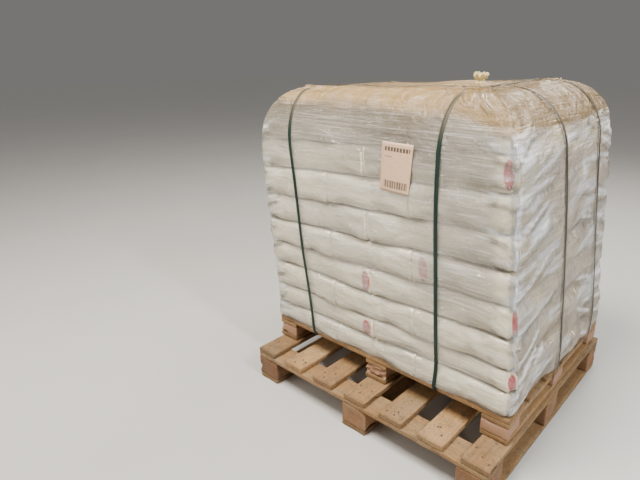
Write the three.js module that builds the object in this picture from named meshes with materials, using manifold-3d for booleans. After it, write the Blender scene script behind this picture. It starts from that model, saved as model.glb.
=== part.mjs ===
// A pallet load of filled sacks in stretch film, strapped to a low pallet that stands on
// a larger one. Units are millimetres, +Z up, the front of the load faces -Y. The origin is
// the middle of the underside of the larger pallet.
import * as THREE from "three";
import { mergeVertices } from "three/addons/utils/BufferGeometryUtils.js";
import Module from "manifold-3d";

const wasm = await Module();
wasm.setup();

// Lower pallet: boards run front to back on stringers that run across
const LOWER = {
  width: 1200, depth: 1200, boards: 7, boardWidth: 110,
  deck: 24, stringer: 22, block: 92, skid: 22, stringerWidth: 123, blockSize: 125,
};

// Upper pallet: boards run across on three runners that go front to back
const UPPER = {
  width: 1200, depth: 1000, boards: 6, boardWidth: 125,
  deck: 21, stringer: 21, block: 49, skid: 21, blockSize: 110, left: -612, front: -438,
};

const LOWER_HEIGHT = LOWER.skid + LOWER.block + LOWER.stringer + LOWER.deck;
const UPPER_HEIGHT = UPPER.skid + UPPER.block + UPPER.stringer + UPPER.deck;
const DECK_TOP = LOWER_HEIGHT + UPPER_HEIGHT;

// The stack as it would stand square: its outline, and the top of each layer above the
// deck at the right-hand end and, more pressed together, at the left-hand end
const LOAD = { left: -634, right: 596, front: -448, back: 564 };
const TOPS_RIGHT = [0, 106, 188, 306, 432, 556, 684, 820, 946, 1133];
const TOPS_LEFT = [0, 80, 172, 288, 385, 500, 618, 746, 868, 1090];
const LOAD_TOP = 1130;

// The stack leans to the left from a little above the deck
const LEAN = 0.104;
const LEAN_START = 110;

// The free top layer curves in towards a flat crown
const SHOULDER_START = 920;
const SHOULDER_INSET = 170;
const SHOULDER_STEPS = [946, 1000, 1045, 1080, 1105, 1120, LOAD_TOP];

// Sacks in a layer: three lie end on along one side, two lie lengthways along the other
const ENDS_ACROSS = 3;
const LONGS_ACROSS = 2;
const END_ROW_SHARE = 0.6;
const SACK_GAP = 6;
const TOUCHING = 0.01;
const LAYER_GAP = 0.6;
const CORE_INSET = 60;
const CORE_DEPTH = 12;
const CORE_CELLS = 2;

// How far the top and bottom edges of a sack are drawn in on the free sides of the load and
// where a sack presses on its neighbour, and how much of its height the bulge takes
const EDGE_DRAW = { ends: 26, front: 14, back: 18, pressed: 8 };
const BULGE_SHARE = 0.25;

// The upright corners of the load and of each sack are cut off at this distance
const CORNER = { reach: 55, load: 16, pressed: 5 };

// The film dips into the seams between the layers
const FILM_DIP = { ends: 17, front: 8, back: 11, pressed: 0 };

// Cells between the corners of a sack and of the film, and along a strap's crown
const SACK_CELLS = 2;
const FILM_CELLS = 4;
const STRAP_CELLS = 6;

// Wrapping: stretch film, four straps, a paper label and the twisted end of the film
const FILM_CLEARANCE = 2;
const FILM_THICKNESS = 1;
const FILM_BOTTOM = 5;
const FILM_MOUTH = 1;
const STRAP_WIDTH = 16;
const STRAP_THICKNESS = 1;
const CONTACT_GAP = 0.4;
const SEAT_GAP = 0.3;
const STRAP_KNEE = 3;

// Place of each strap at the deck and at the crown, how its course bends between them, and
// its height above the crown: those that run front to back cross over the other two
const STRAPS = {
  strap_front_left: { runs: "depth", low: -360, high: -420, bend: 0.6, above: 3.2 },
  strap_front_right: { runs: "depth", low: 282, high: 336, bend: 1.6, above: 3.2 },
  strap_side_middle: { runs: "width", low: -8, high: -90, bend: 4, above: 1.5 },
  strap_side_back: { runs: "width", low: 385, high: 330, bend: 1, above: 1.5 },
};
const LABEL = { width: 131, height: 184, thickness: 0.4, x: 60, z: 1115, turn: 2 };
const KNOT = { x: 258, y: 6, radius: 44, height: 44, stretch: 0.6, sides: 10 };

const LOOKS = {
  deckWood: { color: 0xc3a077, roughness: 0.85 },
  blockWood: { color: 0x9a6b4a, roughness: 0.9 },
  sack: { color: 0xcfc9ba, roughness: 0.7 },
  film: { color: 0xd8d4c8, roughness: 0.2, transparent: true, opacity: 0.35 },
  strap: { color: 0x1f3a30, roughness: 0.4 },
  sideStrap: { color: 0x55584a, roughness: 0.45 },
  label: { color: 0xd9b9a2, roughness: 0.8 },
};
const materials = Object.fromEntries(
  Object.entries(LOOKS).map(([name, look]) => [name, new THREE.MeshStandardMaterial(look)]),
);

const load = new THREE.Group();

function addPiece(parent, name, geometry, material, position) {
  const mesh = new THREE.Mesh(geometry, material);
  mesh.name = name;
  if (position) mesh.position.copy(position);
  parent.add(mesh);
}

// A board or block by its lowest corner and its size
function addTimber(parent, name, material, low, size) {
  const middle = new THREE.Vector3(...low).addScaledVector(new THREE.Vector3(...size), 0.5);
  addPiece(parent, name, new THREE.BoxGeometry(...size), material, middle);
}

// Low edges of equal pieces spread evenly so that the outer ones are flush
function spread(count, size, length) {
  const step = (length - size) / (count - 1);
  return Array.from({ length: count }, (_, index) => index * step);
}

const ACROSS = ["left", "middle", "right"];
const ALONG = ["front", "middle", "back"];

function addBlocks(pallet, prefix, spec, base) {
  spread(3, spec.blockSize, spec.width).forEach((x, column) => {
    spread(3, spec.blockSize, spec.depth).forEach((y, row) => {
      addTimber(pallet, `${prefix}_block_${ALONG[row]}_${ACROSS[column]}`, materials.blockWood,
        [x, y, base], [spec.blockSize, spec.blockSize, spec.block]);
    });
  });
}

// Boards that run front to back over the three columns of blocks
function addRunners(pallet, prefix, part, spec, base, thickness) {
  spread(3, spec.blockSize, spec.width).forEach((x, column) => {
    addTimber(pallet, `${prefix}_${part}_${ACROSS[column]}`, materials.deckWood,
      [x, 0, base], [spec.blockSize, spec.depth, thickness]);
  });
}

function buildLowerPallet() {
  const pallet = new THREE.Group();
  const { width, depth, boards, boardWidth, deck, stringer, block, skid, stringerWidth } = LOWER;
  addRunners(pallet, "lower", "bottom_board", LOWER, 0, skid);
  addBlocks(pallet, "lower", LOWER, skid);
  const stringerBase = skid + block;
  spread(3, stringerWidth, depth).forEach((y, row) => {
    addTimber(pallet, `lower_stringer_${ALONG[row]}`, materials.deckWood,
      [0, y, stringerBase], [width, stringerWidth, stringer]);
  });
  spread(boards, boardWidth, width).forEach((x, index) => {
    addTimber(pallet, `lower_deck_board_${index + 1}`, materials.deckWood,
      [x, 0, stringerBase + stringer], [boardWidth, depth, deck]);
  });
  pallet.position.set(-width / 2, -depth / 2, 0);
  return pallet;
}

function buildUpperPallet() {
  const pallet = new THREE.Group();
  const { width, depth, boards, boardWidth, deck, stringer, block, skid } = UPPER;
  addRunners(pallet, "upper", "bottom_board", UPPER, 0, skid);
  addBlocks(pallet, "upper", UPPER, skid);
  addRunners(pallet, "upper", "stringer", UPPER, skid + block, stringer);
  spread(boards, boardWidth, depth).forEach((y, index) => {
    addTimber(pallet, `upper_deck_board_${index + 1}`, materials.deckWood,
      [0, y, skid + block + stringer], [width, boardWidth, deck]);
  });
  pallet.position.set(UPPER.left, UPPER.front, LOWER_HEIGHT);
  return pallet;
}

// Height at one end of the stack of a level that lies at `level` when the stack is square
function pressedHeight(tops, level) {
  const last = TOPS_RIGHT.length - 1;
  let layer = 1;
  while (layer < last && level > TOPS_RIGHT[layer]) layer += 1;
  const share = (level - TOPS_RIGHT[layer - 1]) / (TOPS_RIGHT[layer] - TOPS_RIGHT[layer - 1]);
  return THREE.MathUtils.lerp(tops[layer - 1], tops[layer], share);
}

// How far the outer edge is drawn in at a level, as a quarter of an ellipse
function shoulder(level) {
  const share = THREE.MathUtils.clamp(
    (level - SHOULDER_START) / (LOAD_TOP - SHOULDER_START), 0, 1);
  return SHOULDER_INSET * (1 - Math.sqrt(1 - share * share));
}

// Draws a coordinate towards the middle, most at the outer edge
function drawIn(value, low, high, inset) {
  const middle = (low + high) / 2;
  const share = (value - middle) / ((high - low) / 2);
  return value - inset * share ** 3;
}

// Moves a point of the square stack to where it lies in the leaning, pressed stack.
// A strap keeps its sideways place on the shoulder, so it isn't drawn in along that axis.
function settle(point, keep = "") {
  const level = point.z - DECK_TOP;
  if (level <= 0) return point;
  const inset = shoulder(level);
  if (keep !== "x") point.x = drawIn(point.x, LOAD.left, LOAD.right, inset);
  if (keep !== "y") point.y = drawIn(point.y, LOAD.front, LOAD.back, inset);
  const share = (point.x - LOAD.left) / (LOAD.right - LOAD.left);
  const left = pressedHeight(TOPS_LEFT, level);
  point.z = DECK_TOP + THREE.MathUtils.lerp(left, pressedHeight(TOPS_RIGHT, level), share);
  point.x -= LEAN * Math.max(0, level - LEAN_START);
  return point;
}

function mapPoints(geometry, move) {
  const position = geometry.getAttribute("position");
  const point = new THREE.Vector3();
  for (let index = 0; index < position.count; index += 1) {
    point.fromBufferAttribute(position, index);
    move(point);
    position.setXYZ(index, point.x, point.y, point.z);
  }
  return geometry;
}

// A closed block with a vertex at each crossing of the given grid lines on its faces
function gridBlock(xs, ys, zs) {
  const corners = [];
  const indices = [];
  const addFace = (us, vs, place, outward) => {
    const first = corners.length / 3;
    us.forEach((u) => vs.forEach((v) => corners.push(...place(u, v))));
    for (let i = 0; i < us.length - 1; i += 1) {
      for (let j = 0; j < vs.length - 1; j += 1) {
        const a = first + i * vs.length + j;
        const b = a + vs.length;
        if (outward) indices.push(a, b, b + 1, a, b + 1, a + 1);
        else indices.push(a, b + 1, b, a, a + 1, b + 1);
      }
    }
  };
  [0, 1].forEach((side) => {
    const z = side ? zs.at(-1) : zs[0];
    const x = side ? xs.at(-1) : xs[0];
    const y = side ? ys.at(-1) : ys[0];
    addFace(xs, ys, (u, v) => [u, v, z], side === 1);
    addFace(ys, zs, (u, v) => [x, u, v], side === 1);
    addFace(zs, xs, (u, v) => [v, y, u], side === 1);
  });
  const geometry = new THREE.BufferGeometry();
  geometry.setAttribute("position", new THREE.Float32BufferAttribute(corners, 3));
  geometry.setIndex(indices);
  return mergeVertices(geometry);
}

function toSolid(geometry) {
  return new wasm.Manifold(new wasm.Mesh({
    numProp: 3,
    vertProperties: geometry.getAttribute("position").array,
    triVerts: new Uint32Array(geometry.getIndex().array),
  }));
}

function toGeometry(solid) {
  const mesh = solid.getMesh();
  const geometry = new THREE.BufferGeometry();
  geometry.setAttribute("position", new THREE.BufferAttribute(mesh.vertProperties, 3));
  geometry.setIndex(new THREE.BufferAttribute(mesh.triVerts, 1));
  return geometry;
}

// Grid lines from low to high with a given number of equal cells
function gridLines(low, high, cells) {
  return Array.from({ length: cells + 1 }, (_, index) =>
    THREE.MathUtils.lerp(low, high, index / cells));
}

// Grid lines with one at the corner's reach from either end and equal cells between them
function cornerLines(low, high, cells) {
  return [low, ...gridLines(low + CORNER.reach, high - CORNER.reach, cells), high];
}

const INWARD = { left: 1, right: -1, front: 1, back: -1 };

// Whether each side of a box is free, on a side of the load, or pressed on a neighbour
function sideKinds(box, outset) {
  const kind = (side, name) =>
    (Math.abs(box[side] - LOAD[side]) < outset + TOUCHING ? name : "pressed");
  return {
    left: kind("left", "ends"), right: kind("right", "ends"),
    front: kind("front", "front"), back: kind("back", "back"),
  };
}

// A block with cut upright corners whose sides are drawn in at the levels where a seam runs
function drawnBlock(box, levels, seams, cells, draws, outset = 0) {
  const kinds = sideKinds(box, outset);
  const onSide = (value, sides) =>
    sides.find((side) => Math.abs(value - box[side]) < TOUCHING);
  const geometry = gridBlock(
    cornerLines(box.left, box.right, cells), cornerLines(box.front, box.back, cells), levels);
  return toSolid(mapPoints(geometry, (point) => {
    const atSeam = seams.some((level) => Math.abs(level - point.z) < TOUCHING);
    const sideX = onSide(point.x, ["left", "right"]);
    const sideY = onSide(point.y, ["front", "back"]);
    const isPressed = kinds[sideX] === "pressed" || kinds[sideY] === "pressed";
    const cut = sideX && sideY ? (isPressed ? CORNER.pressed : CORNER.load) : 0;
    const draw = (side) => INWARD[side] * (cut + (atSeam ? draws[kinds[side]] : 0));
    if (sideX) point.x += draw(sideX);
    if (sideY) point.y += draw(sideY);
    settle(point);
  }));
}

// The five sacks of a layer in plan, with the end-on row at the front or at the back
function layerPlan(endsInFront) {
  const depth = LOAD.back - LOAD.front;
  const frontShare = endsInFront ? END_ROW_SHARE : 1 - END_ROW_SHARE;
  const division = LOAD.front + depth * frontShare;
  const rows = [
    { count: endsInFront ? ENDS_ACROSS : LONGS_ACROSS, front: LOAD.front,
      back: division - SACK_GAP / 2 },
    { count: endsInFront ? LONGS_ACROSS : ENDS_ACROSS, front: division + SACK_GAP / 2,
      back: LOAD.back },
  ];
  return rows.flatMap(({ count, front, back }) => {
    const size = (LOAD.right - LOAD.left - (count - 1) * SACK_GAP) / count;
    return Array.from({ length: count }, (_, index) => {
      const left = LOAD.left + index * (size + SACK_GAP);
      return { left, right: left + size, front, back };
    });
  });
}

// A layer is one body: its sacks are joined deep inside, with the gaps cut into its faces
function buildLayer(index) {
  const low = DECK_TOP + TOPS_RIGHT[index] + (index ? LAYER_GAP / 2 : SEAT_GAP);
  const isTop = index === TOPS_RIGHT.length - 2;
  const high = DECK_TOP + (isTop ? LOAD_TOP : TOPS_RIGHT[index + 1] - LAYER_GAP / 2);
  const levels = isTop
    ? [low, ...SHOULDER_STEPS.slice(1).map((level) => DECK_TOP + level)]
    : [0, BULGE_SHARE, 1 - BULGE_SHARE, 1].map((share) => THREE.MathUtils.lerp(low, high, share));
  const seams = isTop ? [low] : [low, high];
  const coreInset = isTop ? SHOULDER_INSET + CORE_INSET : CORE_INSET;
  const core = mapPoints(gridBlock(
    gridLines(LOAD.left + coreInset, LOAD.right - coreInset, CORE_CELLS),
    gridLines(LOAD.front + coreInset, LOAD.back - coreInset, CORE_CELLS),
    gridLines(low + CORE_DEPTH, high - CORE_DEPTH, CORE_CELLS),
  ), (point) => settle(point));
  const joined = layerPlan(index % 2 === 0)
    .map((box) => drawnBlock(box, levels, seams, SACK_CELLS, EDGE_DRAW))
    .reduce((solid, sack) => solid.add(sack), toSolid(core));
  return toGeometry(joined);
}

// The film is a cap that is open below, drawn over the whole stack
function filmShell(outset, bottom, top) {
  const rises = TOPS_RIGHT.slice(1, -1).flatMap((level, index) => {
    const below = TOPS_RIGHT[index];
    const bulge = [BULGE_SHARE, 1 - BULGE_SHARE].map((share) =>
      THREE.MathUtils.lerp(below, level, share));
    return [...bulge, level];
  });
  const levels = [bottom, ...rises, ...SHOULDER_STEPS.slice(1, -1), top]
    .map((level) => DECK_TOP + level);
  const seams = TOPS_RIGHT.slice(1, -1).map((level) => DECK_TOP + level);
  const box = {
    left: LOAD.left - outset, right: LOAD.right + outset,
    front: LOAD.front - outset, back: LOAD.back + outset,
  };
  return drawnBlock(box, levels, seams, FILM_CELLS, FILM_DIP, outset);
}

function buildFilm() {
  const inner = filmShell(FILM_CLEARANCE, FILM_MOUTH, LOAD_TOP + FILM_CLEARANCE);
  const outset = FILM_CLEARANCE + FILM_THICKNESS;
  const outer = filmShell(outset, FILM_BOTTOM, LOAD_TOP + outset);
  return toGeometry(outer.subtract(inner));
}

// Moves each corner of a closed outline sideways by a distance, to its left when positive
function offsetOutline(points, distance) {
  return points.map((point, index) => {
    const before = points.at(index - 1);
    const after = points[(index + 1) % points.length];
    const arriving = point.clone().sub(before).normalize();
    const leaving = after.clone().sub(point).normalize();
    const normalIn = new THREE.Vector2(-arriving.y, arriving.x);
    const normalOut = new THREE.Vector2(-leaving.y, leaving.x);
    const miter = normalIn.clone().add(normalOut).normalize();
    return point.clone().addScaledVector(miter, distance / miter.dot(normalOut));
  });
}

// The middle line of a strap in its own plane, clockwise from the pallet's low edge
function strapLine(loadLow, loadHigh, palletLow, palletHigh, underside, above) {
  const off = FILM_CLEARANCE + FILM_THICKNESS + CONTACT_GAP + STRAP_THICKNESS / 2;
  const under = underside - SEAT_GAP - STRAP_THICKNESS / 2;
  const besidePallet = SEAT_GAP + STRAP_THICKNESS / 2;
  const top = LOAD_TOP + FILM_CLEARANCE + FILM_THICKNESS + above;
  const levels = [STRAP_KNEE, LEAN_START, ...TOPS_RIGHT.slice(2, -2), SHOULDER_START,
    ...SHOULDER_STEPS.slice(0, -1)];
  const rise = (along) => levels.map((level) => new THREE.Vector2(along, DECK_TOP + level));
  const crown = gridLines(loadLow - off, loadHigh + off, STRAP_CELLS)
    .map((along) => new THREE.Vector2(along, DECK_TOP + top));
  return [
    new THREE.Vector2(palletLow - besidePallet, under),
    ...rise(loadLow - off),
    ...crown,
    ...rise(loadHigh + off).reverse(),
    new THREE.Vector2(palletHigh + besidePallet, under),
  ];
}

// A flat band of four faces that follows a closed line and ends where it began
function bandGeometry(line) {
  const outer = offsetOutline(line, STRAP_THICKNESS / 2);
  const inner = offsetOutline(line, -STRAP_THICKNESS / 2);
  const corners = line.flatMap((_, index) => [
    ...outer[index].toArray(), 0, ...outer[index].toArray(), STRAP_WIDTH,
    ...inner[index].toArray(), STRAP_WIDTH, ...inner[index].toArray(), 0,
  ]);
  const indices = line.flatMap((_, index) => [0, 1, 2, 3].flatMap((side) => {
    const next = (index + 1) % line.length;
    const turn = (side + 1) % 4;
    const [a, b, c, d] = [index * 4 + side, index * 4 + turn, next * 4 + turn, next * 4 + side];
    return [a, b, c, a, c, d];
  }));
  const geometry = new THREE.BufferGeometry();
  geometry.setAttribute("position", new THREE.Float32BufferAttribute(corners, 3));
  geometry.setIndex(indices);
  return geometry;
}

function strapGeometry(spec) {
  const alongDepth = spec.runs === "depth";
  const line = alongDepth
    ? strapLine(LOAD.front, LOAD.back, UPPER.front, UPPER.front + UPPER.depth,
      DECK_TOP - UPPER.deck, spec.above)
    : strapLine(LOAD.left, LOAD.right, UPPER.left, UPPER.left + UPPER.width,
      DECK_TOP - UPPER.deck - UPPER.stringer, spec.above);
  return mapPoints(bandGeometry(line), (point) => {
    const share = THREE.MathUtils.clamp((point.y - DECK_TOP) / LOAD_TOP, 0, 1);
    const across = THREE.MathUtils.lerp(spec.low, spec.high, share ** spec.bend);
    const edge = point.z - STRAP_WIDTH / 2;
    if (alongDepth) point.set(across + edge, point.x, point.y);
    else point.set(point.x, across - edge, point.y);
    settle(point, alongDepth ? "x" : "y");
  });
}

// The label hangs plumb against the upright part of the front, a little turned
function addLabel() {
  const front = LOAD.front - FILM_CLEARANCE - FILM_THICKNESS - SEAT_GAP;
  const sheet = new THREE.BoxGeometry(LABEL.width, LABEL.thickness, LABEL.height);
  sheet.rotateY(THREE.MathUtils.degToRad(LABEL.turn));
  const middle = new THREE.Vector3(LABEL.x, front - LABEL.thickness / 2, LABEL.z);
  addPiece(load, "paper_label", sheet, materials.label, middle);
}

// The gathered end of the film stands up as a small ruffled cone
function knotGeometry() {
  const { radius, height } = KNOT;
  const profile = [[0, 0], [radius, 0], [0.75 * radius, 0.2 * height],
    [0.3 * radius, 0.45 * height], [0.55 * radius, height], [0, 0.85 * height]]
    .map(([r, z]) => new THREE.Vector2(r, z));
  const cone = new THREE.LatheGeometry(profile, KNOT.sides);
  cone.deleteAttribute("normal");
  cone.deleteAttribute("uv");
  const seat = DECK_TOP + LOAD_TOP + FILM_CLEARANCE + FILM_THICKNESS + SEAT_GAP;
  cone.rotateX(Math.PI / 2).scale(1, KNOT.stretch, 1).translate(KNOT.x, KNOT.y, seat);
  return mapPoints(mergeVertices(cone), (point) => settle(point));
}

load.add(buildLowerPallet(), buildUpperPallet());
for (let index = 0; index < TOPS_RIGHT.length - 1; index += 1) {
  addPiece(load, `sack_layer_${index + 1}`, buildLayer(index), materials.sack);
}
addPiece(load, "stretch_film", buildFilm(), materials.film);
Object.entries(STRAPS).forEach(([name, spec]) => {
  const material = spec.runs === "depth" ? materials.strap : materials.sideStrap;
  addPiece(load, name, strapGeometry(spec), material);
});
addLabel();
addPiece(load, "film_knot", knotGeometry(), materials.film);

export default load;
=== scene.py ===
"""A wrapped pallet of sacks, laid out as a Blender add-on and run as a script.

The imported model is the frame: every piece here takes the place of a CAD solid or rides with it.
Units are metres, +Z up, the front of the load faces -Y.
"""

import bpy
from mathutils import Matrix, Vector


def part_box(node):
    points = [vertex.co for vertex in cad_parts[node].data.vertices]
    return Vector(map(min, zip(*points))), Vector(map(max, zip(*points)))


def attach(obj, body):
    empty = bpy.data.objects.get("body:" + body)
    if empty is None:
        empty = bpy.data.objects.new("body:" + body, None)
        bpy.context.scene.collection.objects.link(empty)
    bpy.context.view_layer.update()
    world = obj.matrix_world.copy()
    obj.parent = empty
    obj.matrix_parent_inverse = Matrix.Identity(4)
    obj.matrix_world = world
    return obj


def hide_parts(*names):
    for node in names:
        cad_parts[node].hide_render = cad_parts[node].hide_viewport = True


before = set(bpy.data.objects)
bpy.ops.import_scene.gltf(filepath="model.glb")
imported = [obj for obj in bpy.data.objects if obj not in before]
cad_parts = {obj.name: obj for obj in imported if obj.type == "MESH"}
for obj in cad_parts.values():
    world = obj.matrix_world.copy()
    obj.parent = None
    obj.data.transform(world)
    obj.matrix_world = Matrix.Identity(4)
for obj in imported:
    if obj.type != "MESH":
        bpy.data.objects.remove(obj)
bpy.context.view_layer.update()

import math
import random

import bmesh
import bpy
import numpy as np
from bpy.props import FloatProperty, FloatVectorProperty, IntProperty, PointerProperty
from mathutils import Euler, Matrix, Vector
from mathutils.bvhtree import BVHTree

bl_info = {
    "name": "Wrapped Pallet of Sacks",
    "version": (1, 0, 0),
    "blender": (4, 5, 0),
    "location": "3D View > Sidebar > Pallet Load",
    "description": "Builds a strapped, film-wrapped stack of filled sacks on two wooden pallets",
    "category": "Add Mesh",
}

BODY = "root"
PHOTO_WIDTH_PX = 640
SENSOR_WIDTH_MM = 36.0

# The stack as it would stand square, read from the frame
DECK_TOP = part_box("upper_deck_board_1")[1].z
STACK_LOW, STACK_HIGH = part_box("sack_layer_1")
LEFT, RIGHT = STACK_LOW.x, STACK_HIGH.x
FRONT, BACK = STACK_LOW.y, STACK_HIGH.y
LAYERS = 9
ENDS_ACROSS = 3
LONGS_ACROSS = 2
END_ROW_SHARE = 0.6

# Level of each layer's top above the deck at the right-hand and at the left-hand end
TOPS_RIGHT = (0.0, 0.106, 0.188, 0.306, 0.432, 0.556, 0.684, 0.820, 0.946, 1.133)
TOPS_LEFT = (0.0, 0.080, 0.172, 0.288, 0.385, 0.500, 0.618, 0.746, 0.868, 1.090)
STACK_HEIGHT = 1.130
LAYER_GAP = 0.0008
SLUMP_START = 0.08

# Timber: chips along the edges, nail heads on the lower deck, the splintered block's depth
CHIPS = 6
CHIP_DEPTH = 0.007
SPLINTER_DEPTH = 0.016
NAILS_PER_CROSSING = 3
NAIL_MARGIN = (0.018, 0.020)
NAIL_TILT = 0.12
NAIL_DEPTH = 0.0022
NAIL_SINK = 0.0008

# Sacks: the form that the cloth is simulated on, and how far free sides are drawn back
SACK_SIZE = (0.607, 0.405, 0.120)
SACK_FORMS = 4
FORM_SHRINK = 0.965
FORM_UNEVEN = 0.004
FREE_SIDES = ((LEFT, 1, 0.007), (RIGHT, -1, 0.007), (FRONT, 1, 0.0025), (BACK, -1, 0.004))
CLOTH = {
    "quality": 5, "mass": 0.15, "tension_stiffness": 25, "compression_stiffness": 25,
    "shear_stiffness": 10, "bending_stiffness": 0.5, "tension_damping": 10,
    "compression_damping": 10, "shear_damping": 10, "air_damping": 2, "use_pressure": True,
}

# Layer, sack in the layer and distance of the oval's middle from the sack's right-hand end
PRINTS = {(7, 1): 0.024, (3, 1): -0.018, (1, 1): 0.004, (3, 0): 0.024, (1, 0): 0.034,
          (4, 2): 0.355}
PRINT_HALF = (0.021, 0.052)
NO_PRINT = 9.0

# Film: open hem above the deck, length of the rays, folds, the edge of the sheet on top, and the
# turn and spread of the painted highlight band along the corner
FILM_HEM = 0.006
FILM_REACH = 0.10
FOLDS_PER_LEVEL = 2
FOLD_SLOPE = math.radians(-12)
ROPE_HEIGHT = 0.0012
SHEET_EDGE = 1.325
SHEET_DROP = 0.07
SHINE_TURN = 30
SHINE_SPREAD = 24

# Straps: way, place across at the deck and at the top, bend between them, lift on the crown
STRAPS = {
    "strap_front_left": ("depth", -0.360, -0.420, 0.6, 0.0032),
    "strap_front_right": ("depth", 0.282, 0.336, 1.6, 0.0032),
    "strap_side_middle": ("width", -0.008, -0.090, 4.0, 0.0015),
    "strap_side_back": ("width", 0.385, 0.330, 1.0, 0.0015),
}
STRAP_STEPS = 360
STRAP_OFF_SACKS = 0.0039
STRAP_OFF_WOOD = 0.0008
STRAP_LIFT = 0.003
STRAP_SWAY = 0.0010

# Label: its size, its turn in degrees, and its rows of marks as bottom, top, left and right
# edge, pitch and inked share of the pitch, in shares of the label
LABEL_WIDTH = 0.131
LABEL_HEIGHT = 0.184
LABEL_TURN = 2.0
LABEL_GAP = 0.0006
LABEL_CURL = 0.0005
LABEL_THICKNESS = 0.0003
LABEL_ROWS = (
    (0.82, 0.905, 0.10, 0.92, 0.098, 0.74),
    (0.08, 0.23, 0.12, 0.92, 0.083, 0.46),
    (0.08, 0.23, 0.12, 0.92, 0.031, 0.34),
    (0.70, 0.725, 0.10, 0.34, 0.06, 0.6),
)

# Knot: where the film's folds run together, and the knot's width at shares of its height
KNOT_PLACE = (0.258, 0.006)
KNOT_FOLDS = 13
KNOT_FOLD_HEIGHT = 0.008
KNOT_RISES = (0, 0.10, 0.22, 0.36, 0.52, 0.74, 0.90, 1.0)
KNOT_WIDTHS = (1.0, 0.82, 0.52, 0.46, 0.74, 0.98, 0.94, 0.70)

# Widths of a woven tape and of a strap's embossed square
WEAVE_PITCH = 0.0028
EMBOSS_PITCH = 0.0035

# Colours of dirt and wear, and of painted shade, highlights and reflections; the main colours are
# settings
BOARD_RED = (0.52, 0.25, 0.12)
BLOCK_RED = (0.38, 0.15, 0.08)
WOOD_DUST = (0.29, 0.205, 0.115)
WOOD_KNOT = (0.13, 0.06, 0.03)
WOOD_GRIME = (0.13, 0.085, 0.045)
WOOD_SPECK = (0.10, 0.060, 0.030)
WOOD_CHAFF = (0.52, 0.38, 0.22)
# Painted shade inside small holes, which have no depth of their own
WOOD_HOLE_SHADE = (0.06, 0.035, 0.02)
WOOD_SPLINTERS = (0.62, 0.52, 0.44)
CLOTH_SMUDGE = (0.54, 0.47, 0.37)
CLOTH_DIRT = (0.42, 0.36, 0.28)
CLOTH_PALE = (0.76, 0.69, 0.56)
CLOTH_GREY = (0.50, 0.46, 0.40)
# Painted shade in the seams where the layers of sacks meet
CLOTH_SEAM_SHADE = (0.13, 0.10, 0.075)
FILM_DARK_STREAK = (0.31, 0.26, 0.19)
FILM_PALE_STREAK = (0.92, 0.91, 0.88)
FILM_BEIGE = (0.75, 0.62, 0.43)
FILM_BROWN = (0.56, 0.45, 0.31)
# Painted highlight on the tops of the slanting folds on the ends, and painted brown shade in their
# hollows
FILM_GLINT_HIGHLIGHT = (0.93, 0.93, 0.92)
FILM_HOLLOW_SHADE = (0.34, 0.25, 0.15)
# Painted highlight on the corner folds' crests, painted shade in the troughs below them
FILM_CREST_HIGHLIGHT = (0.94, 0.93, 0.92)
FILM_TROUGH_SHADE = (0.20, 0.155, 0.11)
# Painted bluish-white reflection along the right-hand front corner
FILM_CORNER_HIGHLIGHT = (0.88, 0.91, 0.98)
SHEET_PALE = (0.60, 0.50, 0.38)
STRAP_VEIL = (0.17, 0.125, 0.075)
LABEL_INK = (0.03, 0.02, 0.018)
# Yellowed film of the knot, as a painted shaded tone and a painted lit tone
KNOT_SHADED_YELLOW = (0.42, 0.30, 0.10)
KNOT_LIT_YELLOW = (0.84, 0.71, 0.34)
NAIL_STEEL = (0.10, 0.07, 0.05)
NAIL_RUST = (0.19, 0.09, 0.045)

# Name, place, target, power, size and tint of each lamp
LAMPS = (
    ("overhead_light", (-0.5, -2.1, 5.2), (-0.1, -0.3, 0.6), 450.0, (1.7, 1.7), (1.0, 0.95, 0.87)),
    ("strip_light", (-1.8, -3.2, 2.5), (0, 0, 0.8), 52.0, (3.0, 0.16), (1.0, 0.95, 0.88)),
    ("side_light", (2.8, -0.9, 3.1), (0.4, -0.1, 0.8), 130.0, (0.35, 1.2), (0.94, 0.97, 1.0)),
    ("back_light", (0.2, 3.3, 4.1), (0, 0, 0.7), 190.0, (2.4, 2.4), (1.0, 0.97, 0.92)),
)
WASH_POWER = 0.55
WASH_ANGLE = math.radians(35)
WASH_TILT = math.radians(20)
ROOM_COLOUR = (0.82, 0.81, 0.79, 1.0)
ROOM_STRENGTH = 0.22


# Settings

def metres(name, description, default):
    """A length that the user may change"""
    return FloatProperty(name=name, description=description, default=default, unit="LENGTH")


def paint(name, description, default):
    """A colour that the user may change"""
    return FloatVectorProperty(
        name=name, description=description, default=default, subtype="COLOR")


def bearing(name, description, degrees):
    """An angle that the user may change"""
    return FloatProperty(
        name=name, description=description, default=math.radians(degrees), subtype="ANGLE")


class LoadSettings(bpy.types.PropertyGroup):
    """How the stack leans and how its crown is rounded"""

    lean: FloatProperty(
        name="Lean", description="Shift to the left for each metre of height", default=0.104)
    lean_start: metres("Lean Start", "Height at which the lean begins", 0.110)
    shoulder_start: metres("Shoulder Start", "Height at which the crown begins to curve in", 0.920)
    shoulder_inset: metres("Shoulder Inset", "How far the crown is drawn in at its top", 0.170)
    slump: metres("Slump", "How unevenly the layers have settled", 0.008)
    seed: IntProperty(name="Seed", description="Seed of all random draws", default=11)


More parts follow.
